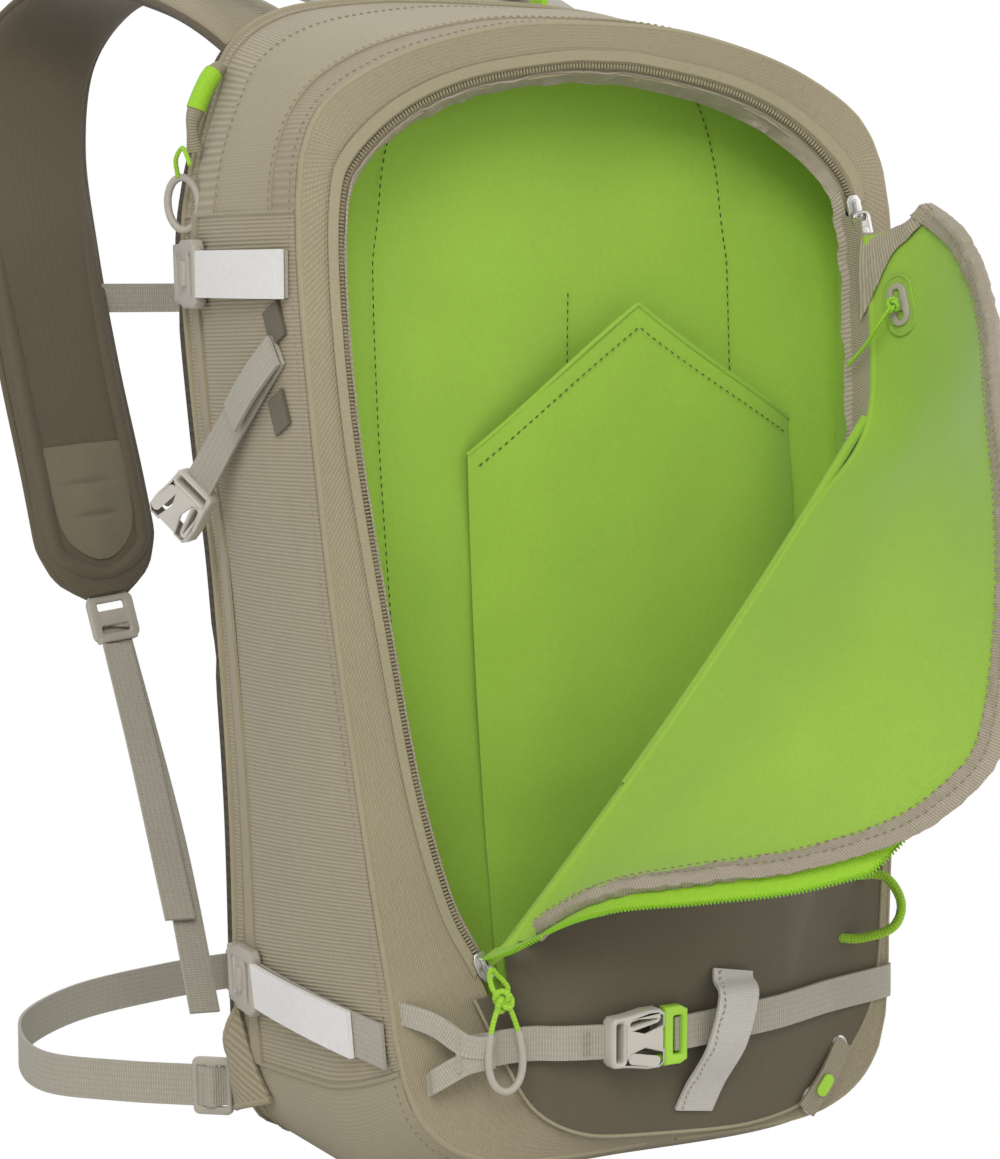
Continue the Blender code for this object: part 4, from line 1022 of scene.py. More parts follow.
def flat_route(points, width, across):
    """Place on webbing: u along its route, w over its width; across is a vector or a function of u."""
    route = Route(points)

    def place(u, w):
        wide = square_to(across(u) if callable(across) else across, route.along(u))
        return route.at(u) + wide * (w - 0.5) * width

    return place


def webbing(name, points, width, across, material=WEBBING, wall=WEB, segments=48, **carry):
    return cloth(name, segments, 6, flat_route(points, width, across), material, wall, **carry)


def round_grid(route, radius, rings, sides, closed, facing):
    """A tube round a route; radius may be a function of the share along it."""
    def place(u, w):
        along = route.along(u)
        if closed:
            along = (route.at((u + NUDGE) % 1) - route.at((u - NUDGE) % 1)).normalized()
        side = square_to(facing, along)
        angle = 2 * math.pi * w
        reach = radius(u) if callable(radius) else radius
        return route.at(u) + (side * math.cos(angle) + along.cross(side) * math.sin(angle)) * reach

    bm = laid_grid(rings, sides, place)
    bmesh.ops.remove_doubles(bm, verts=bm.verts, dist=MERGE)
    if not closed:
        bmesh.ops.holes_fill(bm, edges=[e for e in bm.edges if e.is_boundary])
    bmesh.ops.recalc_face_normals(bm, faces=bm.faces)
    return bm


def cord(name, points, radius, material, facing=Y, closed=False, rings=40, sides=8, **carry):
    route = Route(points + points[:1] if closed else points)
    return finished(name, round_grid(route, radius, rings, sides, closed, facing), material, **carry)


def knot_loop(at, wide, high, deep):
    """A closed three-lobed knot; the vectors give its size and how it is turned."""
    points = []
    for angle in angles(24):
        bend = 2 + math.cos(3 * angle)
        flat = wide * math.cos(2 * angle) + high * math.sin(2 * angle)
        points.append(at + flat * bend + deep * math.sin(3 * angle))
    return points


def plate_mesh(outlines, thickness, edge, place):
    """A flat moulding with rounded edges; the outlines after the first are its slots."""
    curve = bpy.data.curves.new("outline", "CURVE")
    curve.dimensions = "2D"
    curve.fill_mode = "BOTH"
    curve.extrude = thickness / 2 - edge
    curve.bevel_depth = edge
    curve.bevel_resolution = 2
    curve.offset = -edge
    for points in outlines:
        spline = curve.splines.new("POLY")
        spline.points.add(len(points) - 1)
        for point, (x, y) in zip(spline.points, points):
            point.co = (x, y, 0, 1)
        spline.use_cyclic_u = True
    guide = added("outline", curve)
    mesh = evaluated_mesh(guide)
    bpy.data.objects.remove(guide)
    mesh.transform(place)
    return mesh


def moulded(name, plates, material, **carry):
    """One moulded piece of one or more plates, each (outlines, thickness, edge, place)."""
    bm = bmesh.new()
    for plate in plates:
        bm.from_mesh(plate_mesh(*plate))
    bmesh.ops.remove_doubles(bm, verts=bm.verts, dist=MERGE)
    bmesh.ops.recalc_face_normals(bm, faces=bm.faces)
    return finished(name, bm, material, **carry)


def bead_row(points, out, size, pitch, lift):
    """Small rounded beads laid end to end along a line, each facing out."""
    route = Route(points, 4 * len(points) + 60)
    count = max(1, round(route.run[-1] / pitch))
    length, width, thick = size
    shape = Matrix.Diagonal((length / 2, width / 2, thick, 1))
    row = bmesh.new()
    for first in range(0, count, BEADS_AT_ONCE):
        bm = bmesh.new()
        for i in range(first, min(first + BEADS_AT_ONCE, count)):
            share = (i + 0.5) / count
            facing = out(share) if callable(out) else out
            place = frame_matrix(route.at(share) + facing * lift, route.along(share), facing)
            bmesh.ops.create_uvsphere(bm, u_segments=6, v_segments=4, radius=1, matrix=place @ shape)
        row.from_mesh(taken_mesh("beads", bm))
    return taken_mesh("bead_row", row)


def beaded(name, rows, size, pitch, material, lift=0.0, **carry):
    """Rows of beads, each a list of points and a direction out of the cloth."""
    bm = bmesh.new()
    for points, out in rows:
        bm.from_mesh(bead_row(points, out, size, pitch, lift))
    return finished(name, bm, material, **carry)


def stitches(name, rows, material=TAN_THREAD, **carry):
    """Rows of lockstitch."""
    size = (STITCH, 3 * THREAD, 2 * THREAD)
    return beaded(name, rows, size, STITCH + STITCH_GAP, material, THREAD, **carry)


def zip_teeth(name, points, out, width, material, **carry):
    size = (TOOTH_PITCH * TOOTH_SHARE, width, CHAIN_RADIUS * TOOTH_RISE)
    return beaded(name, [(points, out)], size, TOOTH_PITCH, material, **carry)


def loop_share(t):
    """Share and side on a half outline, from a share of the loop that runs over the top, foot to foot."""
    return (t, -1) if t <= 1 else (2 - t, 1)


LOW_SHARE = share_at_height(lambda s: tunnel(s, 0.5), BASE_TOP)
HIGH_SHARE = share_at_height(lambda s: tunnel(s, 0.5), SIDE_TOP)


def tunnel_out(s, v, side):
    """Direction out of the side, top and base cloth."""
    along = tunnel(min(s + NUDGE, 1), v) - tunnel(max(s - NUDGE, 0), v)
    depth = tunnel(s, min(v + WIDE_NUDGE, 1)) - tunnel(s, max(v - WIDE_NUDGE, 0))
    out = depth.cross(along).normalized()
    here = tunnel(s, v)
    if out.dot(here - Vector((0, here.y, BACK_HEIGHT / 2))) < 0:
        out = -out
    return on_side(out, side)


def over_tunnel(s, v, side, lift):
    return tunnel(s, v, side) + tunnel_out(s, v, side) * lift


def loop_tunnel(t, v, lift=0.0):
    s, side = loop_share(t)
    return over_tunnel(s, v, side, lift)


def loop_row(v, start, end, count, lift=PANEL / 2):
    """A line round the body at one depth, and the direction out of the cloth along it."""
    def out(share):
        s, side = loop_share(between(start, end, share))
        return tunnel_out(s, v, side)

    return sampled(lambda u: loop_tunnel(between(start, end, u), v, lift), count), out


def whole_loop(u):
    """Share of the loop that leaves a small gap under the base."""
    return between(LOOP_GAP, 2 - LOOP_GAP, u)


def above_floor(point, radius):
    """The point, raised where a cord of this radius would sink into the floor."""
    return Vector((point.x, point.y, max(point.z, CAD_BOX[0][2] + radius)))


def body_panels():
    def side_share(u):
        return between(LOW_SHARE, HIGH_SHARE, u)

    for side, name in SIDES:
        def side_place(u, w, side=side):
            return tunnel(side_share(u), w, side)

        def rear_strip(u, w, side=side):
            return over_tunnel(side_share(u), between(*REAR_STRIP, w), side, PANEL / 2 + LAYER)

        cloth(f"{name}_side", 90, 40, side_place, TAN_RIBBED, slack=(0.09, SLACK),
              nodes=[f"{name}_side_panel"])
        cloth(f"{name}_rear_strip", 90, 4, rear_strip, TAN_SMOOTH, wall=2 * LAYER)
        for share, label in ((HIGH_SHARE, "yoke"), (LOW_SHARE, "base")):
            seam = sampled(lambda v: over_tunnel(share, v, side, PANEL / 2), 24)
            cord(f"{name}_{label}_seam", seam, PIPING, TAN_SMOOTH, facing=Z, rings=60)

    def top_strip(first, last, lift=0.0):
        def place(u, w):
            return loop_tunnel(HIGH_SHARE + 2 * (1 - HIGH_SHARE) * u, between(first, last, w), lift)
        return place

    cloth("top_middle", 120, 20, top_strip(TOP_REAR, TOP_FRONT, LAYER), TAN_SMOOTH, slack=(0.07, SLACK),
          nodes=["top_panel"])
    cloth("top_front_strip", 120, 8, top_strip(TOP_FRONT - TOP_LAP, 1), TAN_TWILL)
    cloth("top_rear_strip", 120, 12, top_strip(0, TOP_REAR + TOP_LAP), TAN_RIBBED)
    rows = []
    for level in (TOP_FRONT - TOP_STITCH, TOP_REAR + TOP_STITCH):
        rows.append(loop_row(level, HIGH_SHARE, 2 - HIGH_SHARE, 80, PANEL / 2 + LAYER))
    stitches("top_stitching", rows)

    def base_place(u, w):
        return signed_loop(lambda s: tunnel(s, w), (2 * u - 1) * LOW_SHARE)

    cloth("base", 90, 30, base_place, TAN_SMOOTH, nodes=["base_panel"])


def rim_outer(s):
    """Outer edge of the strip between the front seam and the zip."""
    return seam_point(s) + Vector((0, -RIM_STEP, PANEL / 2))


def rim_point(t, w):
    """The strip between the front seam (w = 0) and the zip (w = 1), round the loop."""
    s, side = loop_share(t)
    return on_side(rim_outer(s).lerp(zip_point(s), w), side)


def front_rim():
    cloth("front_rim_cloth", 300, 8, lambda u, w: rim_point(2 * u, w), TAN_TWILL, nodes=["front_rim"])
    seam = sampled(lambda u: rim_point(whole_loop(u), 0), 140)
    cord("front_seam_welt", seam, 0.0015, TAN_SMOOTH, rings=300)
    row = loop_row(SEAM_STITCH, SEAM_STITCH_START, 2 - SEAM_STITCH_START, 140)
    stitches("front_seam_stitching", [row])


ZIP_START = share_at_height(zip_point, SLIDER_LEFT_Z)
ZIP_END = 2 - share_at_height(zip_point, SLIDER_RIGHT_Z)
FACING_END = 2 - share_at_height(zip_point, FOLD_RIGHT_Z - 0.013)


def zip_side(t, inset, back=0.0):
    s, side = loop_share(t)
    return on_side(zip_point(s, inset), side) + Y * back


def zip_at(u):
    return between(ZIP_START, ZIP_END, u)


def pocket_zip():
    def tape(u, w):
        """Sewn to the rim at w = 0, and tucked behind the teeth from there on."""
        inset = between(TAPE_OUTER, TAPE_INNER, w)
        behind = TAPE_TUCK * clamped((inset - 0.0014) / 0.0010)
        return zip_side(zip_at(u), inset, behind - PANEL / 2 - TAPE)

    cloth("zip_tape_body", 300, 12, tape, TAN_SMOOTH, wall=TAPE)
    chain = sampled(lambda u: zip_side(zip_at(u), CHAIN_INSET), 160)
    zip_teeth("zip_coil_body", chain, -Y, 0.0034, COIL_PLASTIC, nodes=["zip_chain_body"])

    def facing(u, w):
        """Ruffled binding inside the zip, shallower towards its right end."""
        depth = 0.010 - 0.006 * clamped((u - 0.78) / 0.12)
        here = zip_side(between(ZIP_START, FACING_END, u), 0.0058 + 0.0042 * w, 0.001 + depth * w)
        ruffle = noise.noise(here * 90) * 0.0035 + noise.noise(here * 260) * 0.0014
        return here + Vector((0, ruffle * (0.3 + 0.7 * w), ruffle * 0.3))

    cloth("opening_facing", 420, 8, facing, BINDING, wall=0.0009)

    def bridge(u, w):
        """Cloth from the binding's right end to the flap's fold."""
        body = zip_side(between(ZIP_END, FACING_END, u), 0.0072, 0.002)
        fold = flap_point(1.02 - 0.28 * u, 0) + Vector((-0.0015, 0.0008, 0))
        here = body.lerp(fold, w)
        return here - Y * 0.0025 * hump(w) * (1 + noise.noise(here * 120))

    cloth("opening_bridge", 90, 8, bridge, BINDING, wall=THIN, carrier=GUSSET_TURN)
    straight = (FOLD_RIGHT - FOLD_LEFT).length
    straight /= straight + (FOLD_TOP - FOLD_RIGHT).length

    def gusset(u, w):
        """Lining that joins the front panel's upper edge to the flap's fold."""
        s = EDGE_TRIM + 0.99 * u
        body = panel_point(s, 0) + Y * 0.0014
        fold = flap_point((trimmed(s) * straight - EDGE_TRIM) / (1 - 2 * EDGE_TRIM), 0) + Y * 0.0006
        return body.lerp(fold, w)

    cloth("fold_gusset", 120, 4, gusset, LIME_CLOTH, wall=THIN, carrier=GUSSET_TURN)
    rolled = sampled(lambda u: panel_point(0.3 + 0.72 * u, 0) - Y * 0.0010, 40)
    cord("panel_fold_roll", rolled, 0.0024, LIME_CLOTH, rings=120, sides=10)


def pocket_wall_point(u, w):
    """Slack lining from the zip (w = 0) back to the divider (w = 1)."""
    t = between(WALL_START, 2 - WALL_START, u)
    s, side = loop_share(t)
    lip = zip_side(t, 0.0052, 0.003)
    root = over_tunnel(s, POCKET_SHARE, side, -0.0042)
    return lip.lerp(root, w) + tunnel_out(s, 0.86, side) * 0.004 * hump(w)


def sleeve_top(u):
    low = between(SLEEVE_LEFT_EDGE, SLEEVE_RIGHT_EDGE, u)
    return between(low, SLEEVE_PEAK, max(0, 1 - abs(2 * u - 1)))


def sleeve_point(u, w, lift=0.0):
    """The inner pocket on the lining, with a peaked upper edge."""
    x = between(SLEEVE_LEFT, SLEEVE_RIGHT, u)
    z = between(SLEEVE_BOTTOM, sleeve_top(u), w)
    puff = (1 - (2 * u - 1) ** 4) * min(1, w * 3)
    wall = divider_point(x / divider_point(1, z).x, z)
    return wall - Y * (PANEL + SLEEVE_SEAT + SLEEVE_STANDOFF * puff + lift)


def pocket_lining():
    def divider(u, w):
        return divider_point(2 * u - 1, row_height(DIVIDER_BOTTOM, DIVIDER_TOP, w))

    lining = cloth("pocket_lining", 70, 70, divider, LIME_CLOTH, slack=(0.05, 0.0022), wall=LINING,
                   nodes=["pocket_divider"])
    declare_sheet(lining, divider, "stretched", "pocket_side_lining")
    cloth("pocket_side_lining", 260, 14, pocket_wall_point, LIME_CLOTH, slack=(0.03, SLACK), wall=THIN)
    seams = []
    for top_f, low_f, top in ((-0.62, -0.66, 0.488), (0.58, 0.70, 0.488), (0.06, 0.05, 0.40)):
        def seam(share):
            place = divider_point(between(top_f, low_f, share), between(top, LINING_SEAM_LOW, share))
            return place - Y * 0.0018
        seams.append((sampled(seam, 30), -Y))
    stitches("lining_stitching", seams, DARK_THREAD)
    sleeve = cloth("sleeve_cloth", 70, 40, sleeve_point, LIME_CLOTH, slack=(0.035, SLACK), wall=LINING,
                   nodes=["tool_sleeve"])
    declare_sheet(sleeve, sleeve_point, "stretched", "pocket_lining")
    cord("sleeve_hem", sampled(lambda u: sleeve_point(u, 1), 80), 0.0012, LIME_CLOTH, rings=120)
    row = sampled(lambda u: sleeve_point(0.02 + 0.96 * u, 0.965, 0.0012), 60)
    stitches("sleeve_stitching", [(row, -Y)], DARK_THREAD)


def rim_target(u):
    """Where the front cloth ends on the rim: just past the zip on the left, far over on the right."""
    t = between(PANEL_START, PANEL_END, u)
    over = clamped((t - LAP_START) / LAP_RUN)
    share = between(LAP_LEFT, LAP_RIGHT, over * over * (3 - 2 * over))
    return signed_loop(lambda s: zip_point(s).lerp(rim_outer(s), share), t) - Y * FRONT_LAP_RISE


def front_panel():
    def place(u, w):
        drape = noise.noise(Vector((u * 5, w * 2.5, 0.3))) * 0.0022 * hump(w)
        return (panel_point(u, w) - Y * drape).lerp(rim_target(u), clamped((w - LAP_FROM) / (1 - LAP_FROM)))

    panel = cloth("front_cloth", 140, 70, place, DARK_CLOTH, wall=0.0014, nodes=["front_panel"])
    declare_sheet(panel, place, "stretched", "front_rim_cloth")
    low = sampled(lambda u: place(u, 1) - Y * LAYER, 100)
    cord("front_cloth_welt", low, 0.0008, TAN_SMOOTH, rings=200)

    def inner(u, w):
        return panel_point(u, 0.94 * w) + Y * 0.0022

    cloth("front_lining", 90, 40, inner, LIME_CLOTH, wall=LAYER)


def flap_side(u, w, lift):
    return flap_point(u, w) + flap_out(u, min(max(w, EDGE_TRIM), 1 - EDGE_TRIM)) * lift


def flap_reach(u):
    """Length that a whole share of w stands for next to the flap's free edge."""
    return (flap_point(u, 1) - flap_point(u, 0.9)).length / 0.1


def binding_fold(w):
    """Side, depth and lift of a tape folded over an edge, from the lining (w = 0) to the outside (w = 1)."""
    side = 1 if w < 0.5 else -1
    depth = abs(2 * w - 1)
    return side, depth, side * BINDING_LIFT * min(1, depth * 4)


def flap():
    def lining(u, w):
        slack = noise.noise(Vector((u * 4, w * 3, 0.7))) * 0.0035 * hump(w) * hump(u)
        return flap_side(u, w, FLAP_LINING + slack)

    def outer(u, w):
        return flap_side(u, w, -FLAP_LINING)

    inside = cloth("flap_lining", 110, 60, lining, LIME_CLOTH, wall=THIN, carrier=FLAP_TURN,
                   nodes=["front_flap", "flap_fold"])
    declare_sheet(inside, lining, "folded", "front_cloth")
    outside = cloth("flap_outside", 110, 60, outer, DARK_CLOTH, wall=LINING, carrier=FLAP_TURN)
    declare_sheet(outside, outer, "folded", "front_cloth")

    def edge_band(u, w):
        """Puckered tape over the flap's free edge."""
        side, depth, lift = binding_fold(w)
        span = flap_reach(u)
        at = 1 - min(BINDING_REACH / span, 0.6) * depth + BINDING_OVER / span
        here = flap_side(u, at, lift)
        pucker = abs(noise.noise(here * 130)) * BINDING_PUCKER + noise.noise(here * 330) * 0.0005
        return here + flap_out(u, 0.95) * pucker * side

    cloth("flap_binding", 420, 12, edge_band, BINDING, wall=TAPE, carrier=FLAP_TURN)

    def top_band(s, w):
        """The same tape over the flap's upper end, from the fold to the free corner."""
        s = 1.08 * s - 0.08
        side, depth, lift = binding_fold(w)
        span = (flap_point(1, s) - flap_point(0.95, s)).length / 0.05
        corner = 0.022 * max(0, 1 - s / 0.5) ** 2
        here = flap_side(1 - ((BINDING_REACH + corner) * depth - BINDING_OVER) / span, s, lift)
        return here + flap_out(0.95, s) * abs(noise.noise(here * 130)) * BINDING_PUCKER * side

    cloth("flap_top_binding", 60, 12, top_band, BINDING, wall=TAPE, carrier=FLAP_TURN)
    flap_zip()
    rows = []
    for line in (0.0095, 0.0030):
        places = sampled(lambda u: flap_side(u, 1 - line / flap_reach(u), 0.0040), 120)
        rows.append((places, lambda share: flap_out(share, 0.95)))
    stitches("flap_binding_stitching", rows, carrier=FLAP_TURN)


def flap_zip():
    """Lime zip tape along the flap's free edge, with its teeth and its tail to the left slider."""
    def along_tape(u):
        return 0.008 + 0.94 * u

    def tape(u, w):
        u = along_tape(u)
        edge = flap_point(u, 1)
        away = (edge - flap_point(u, 0.94)).normalized()
        behind = -flap_out(u, 0.97)
        tuck = clamped((u - 0.27) / 0.08)
        lean = away * (0.75 - 1.6 * tuck) + behind * (0.45 - 0.41 * tuck)
        root = edge - away * (0.003 + 0.003 * tuck) + behind * (0.0034 + 0.0008 * tuck)
        return root + lean * TAPE_SHOWN * w * min(1, 0.35 + u * 11)

    cloth("zip_tape_flap", 260, 6, tape, LIME_TAPE, wall=TAPE, carrier=FLAP_TURN)
    fold = [LEFT_END + Vector((0.002, -0.004, 0.002))] + sampled(lambda u: flap_point(u, 0), 60)
    cord("flap_fold_roll", fold, 0.0022, LIME_CLOTH, rings=160, sides=10, carrier=FLAP_TURN)
    top = tape(0, 0.6)
    tail = [
        top,
        top.lerp(LEFT_END, 0.5) + Vector((-0.002, -0.003, 0.001)),
        LEFT_END + Vector((0.003, -0.001, 0.005)),
    ]
    width, across = 0.0085, Vector((0.8, -0.3, 0.5))
    webbing("zip_tape_tail", tail, width, across, LIME_TAPE, wall=TAPE, segments=30, carrier=FLAP_TURN)
    side = flat_route(tail, width, across)
    teeth = sampled(lambda u: side(u, 0) - Y * TAPE, 20)
    zip_teeth("zip_coil_tail", teeth, -Y, 0.0030, LIME_COIL, carrier=FLAP_TURN)
    chain = sampled(lambda u: tape(u, 1), 140)
    zip_teeth("zip_coil_flap", chain, lambda share: flap_out(along_tape(share), 0.97), 0.0032, LIME_COIL,
              carrier=FLAP_TURN, nodes=["zip_chain_flap"])


def eyelet():
    """Embossed patch, figure-eight plate and the knotted cord on the flap's lining."""
    u, w = 0.91, 0.30
    out = flap_out(u, w)
    along = (flap_point(u + WIDE_NUDGE, w) - flap_point(u - WIDE_NUDGE, w)).normalized()
    at = flap_point(u, w) + out * (PANEL / 2 + 0.0014)

    def raised(rise):
        return frame_matrix(at + out * rise, along, out)

    length, width, rim, soft = 0.029, 0.019, 0.003, 0.0004
    patch = rounded(length, width, 0.009, steps=8)
    inside = rounded(length - rim, width - rim, 0.0075, steps=8)
    moulded("eyelet_patch", [
        ([patch], 0.0012, soft, raised(-0.0006)),
        ([patch, inside], 0.0014, soft, raised(-0.0002)),
    ], LIME_CLOTH, carrier="flap")
    ring = rounded(0.020, 0.012, 0.0056, steps=5)
    holes = [rounded(0.005, 0.005, 0.0024, (x, 0), 4) for x in (-0.005, 0.005)]
    moulded("eyelet_plate", [([ring] + holes, 0.0018, 0.0005, raised(0.0006))], GREY_PLASTIC, carrier="flap",
            nodes=["flap_grommet"])
    radius = 0.0009
    hole = at - along * 0.0045
    knot_at = hole + out * 0.0042 + along * 0.004
    knot = knot_loop(knot_at, along * 0.0011, out.cross(along) * 0.0011, out * 0.0010)
    cord("eyelet_knot", knot, radius, LIME_CORD, facing=out, closed=True, rings=90, carrier="flap")
    fall = square_to(Vector((-0.71, 0.39, -0.59)), out)
    tail = [knot_at + out * 0.001]
    for reach, rise, sway in ((0.010, 0.004, 0.002), (0.022, 0.003, 0.001), (0.038, 0.0014, -0.003)):
        tail.append(knot_at + out * rise + fall * reach + out.cross(fall) * sway)
    piece = cord("eyelet_cord", tail, radius, LIME_CORD, facing=along, carrier="flap")
    declare_cord(piece, tail, 40, diameter=2 * radius, far_end="bare", stiffness="limp", lay="hanging")


# Slider and buckle outlines, as shares of a length and a half width
SLIDER_LENGTH = 0.013
SLIDER_WIDTH = 0.0078
SLIDER_EDGE = [(-0.5, -0.60), (-0.2, -1), (0.28, -1), (0.5, -0.55)]
SOCKET_EDGE = [
    (-0.50, -0.70), (-0.44, -0.84), (-0.26, -0.86), (-0.10, -0.90), (0.16, -1), (0.40, -1), (0.50, -0.84),
    (0.50, -0.40), (0.44, -0.30),
]
SOCKET_CREST = [(0.44, -0.46), (0.10, -0.24), (-0.16, -0.40), (-0.24, -0.62)]
INSERT_EDGE = [(0, -1), (0.7, -1), (1, -0.86)]
INSERT_THICK = 0.56
ARM_REACH = 0.6
INSERT_ARM = [(0, 0.60), (-0.55, 0.66), (-0.72, 0.80), (-0.60, 1.02), (-0.30, 0.92), (0, 0.86)]


def scaled(shape, length, half):
    return [(x * length, y * half) for x, y in shape]


def both_halves(shape, length=1, half=1):
    """The whole outline of a shape given on one side of its length."""
    lower = scaled(shape, length, half)
    return lower + [(x, -y) for x, y in reversed(lower)]


def sliders():
    face = CHAIN_RADIUS + 0.0004
    for (side, name), z in zip(SIDES, (SLIDER_LEFT_Z, SLIDER_RIGHT_Z)):
        s = share_at_height(zip_point, z)
        here = on_side(zip_point(s, CHAIN_INSET), side)
        up = zip_point(s + NUDGE, CHAIN_INSET) - zip_point(s - NUDGE, CHAIN_INSET)
        up = on_side(up, side).normalized()
        out = square_to(-Y, up)
        body = frame_matrix(here + out * (face + 0.0010), up, out)
        bridge = frame_matrix(here + out * (face + 0.0024), up, out)
        moulded(f"zip_slider_{name}_body", [
            ([both_halves(SLIDER_EDGE, SLIDER_LENGTH, SLIDER_WIDTH / 2)], 0.0016, 0.0005, body),
            ([rounded(0.0085, 0.0022, 0.0010, steps=4)], 0.0018, 0.0006, bridge),
        ], BARE_METAL, carrier=f"slider_{name}", nodes=[f"zip_slider_{name}"])
        hang = here + out * (face + 0.0052) - up * 0.002
        if side < 0:
            cord_pull(hang)
        else:
            tab_pull(hang, up, out)


def tab_pull(top, up, out):
    """Metal tab under the right slider."""
    place = frame_matrix(top - out * 0.0006 - up * 0.008, up, out)
    edge = rounded(0.017, 0.010, 0.0036, steps=5)
    hole = rounded(0.003, 0.005, 0.0012, (0.0055, 0), 4)
    moulded("zip_pull_right_tab", [
        ([edge, hole], 0.0022, 0.0006, place),
        ([rounded(0.008, 0.005, 0.0015, (-0.003, 0), 4)], 0.0028, 0.0004, place),
    ], BARE_METAL, carrier="pull_right", nodes=["zip_pull_right"])


def cord_pull(top):
    """Lime cord knotted under the left slider; its two strands end in a moulded teardrop."""
    body, radius = "pull_left", 0.0012
    knot_at = top + Vector((0.001, -0.010, -0.011))
    half_way = top.lerp(knot_at, 0.5)
    strands = [
        knot_at + Vector((-0.0012, 0, 0.001)), half_way + Vector((-0.0036, -0.003, 0)),
        top + Vector((-0.0018, -0.003, -0.001)), top + Vector((0, -0.0022, 0.0012)),
        top + Vector((0.0018, -0.003, -0.001)), half_way + Vector((0.0036, -0.003, 0)),
        knot_at + Vector((0.0012, 0, 0.001)),
    ]
    piece = cord("zip_cord_left", strands, radius, LIME_CORD, rings=80, carrier=body, nodes=["zip_pull_left"])
    declare_cord(piece, strands, 60, diameter=2 * radius, far_end="object", stiffness="limp", lay="hanging")
    knot = knot_loop(knot_at, X * 0.0014, Z * 0.0016, Y * 0.0014)
    cord("zip_cord_knot", knot, 0.0013, LIME_CORD, closed=True, rings=90, carrier=body)
    drop, half_width = Vector((-0.001, -0.005, -0.038)), 0.0108

    def hoop(share):
        """Teardrop that starts and ends at the knot."""
        angle = 2 * math.pi * share
        fall = (1 - math.cos(angle)) / 2
        return knot_at + drop * fall + X * half_width * math.sin(angle) * between(0.45, 1, fall)

    tip = sampled(lambda u: hoop(0.20 + 0.60 * u), 30)
    cord("zip_teardrop_left", tip, 0.0017, GREY_PLASTIC, rings=80, sides=10, carrier=body)
    for first, last, label in ((0.0, 0.22, "a"), (1.0, 0.78, "b")):
        strand = sampled(lambda u: hoop(between(first, last, u)), 10)
        cord(f"zip_strand_{label}", strand, radius, LIME_CORD, rings=30, carrier=body)


def tilted(outline, centre, angle):
    """The outline turned about the origin and moved to its centre."""
    spin = Matrix.Rotation(angle, 2)
    return [tuple(spin @ Vector(point) + Vector(centre)) for point in outline]


def socket_plates(place, length, width, thick):
    """Buckle socket with its web bar and two long bays beside a waisted body; the mouth faces local +X."""
    half = width / 2
    slot = rounded(length * 0.13, width * 0.66, 0.001, (-length * 0.34, 0), 3)
    bay = rounded(length * 0.50, width * 0.085, width * 0.04, steps=4)
    bays = [tilted(bay, (length * 0.10, turn * half * 0.66), turn * 0.20) for turn in (-1, 1)]
    crest_place = place @ Matrix.Translation((0, 0, thick * 0.5))
    bar = rounded(length * 0.05, width * 0.7, 0.0006, (-length * 0.46, 0), 2)
    return [
        ([both_halves(SOCKET_EDGE, length, half), slot] + bays, thick, thick * 0.16, place),
        ([both_halves(SOCKET_CREST, length, half)], thick * 0.2, thick * 0.08, crest_place),
        ([bar], thick * 1.1, 0.0006, place),
    ]


def insert_plates(place, base, width, thick, reach):
    """Buckle insert: base frame with its web slot, and two sprung arms towards local -X."""
    half = width / 2
    slot = rounded(base * 0.38, width * 0.66, 0.0008, (base * 0.58, 0), 3)
    tongue = rounded(reach * 0.8, width * 0.14, 0.001, (-reach * 0.4, 0), 2)
    plates = [([both_halves(INSERT_EDGE, base, half), slot], thick, thick * 0.22, place)]
    for turn in (-1, 1):
        plates.append(([scaled(INSERT_ARM, reach, turn * half)], thick * 0.72, thick * 0.16, place))
    return plates + [([tongue], thick * 0.5, 0.0006, place)]


def small_socket(name, place, thick, **carry):
    plates = socket_plates(place, BUCKLE_LENGTH, BUCKLE_WIDTH, BUCKLE_THICK * thick)
    moulded(name, plates, PALE_PLASTIC, **carry)


def small_insert(name, place, **carry):
    thick, reach = BUCKLE_THICK * INSERT_THICK, BUCKLE_LENGTH * ARM_REACH
    plates = insert_plates(place, MALE_BASE, BUCKLE_WIDTH, thick, reach)
    moulded(name, plates, LIME_PLASTIC, **carry)


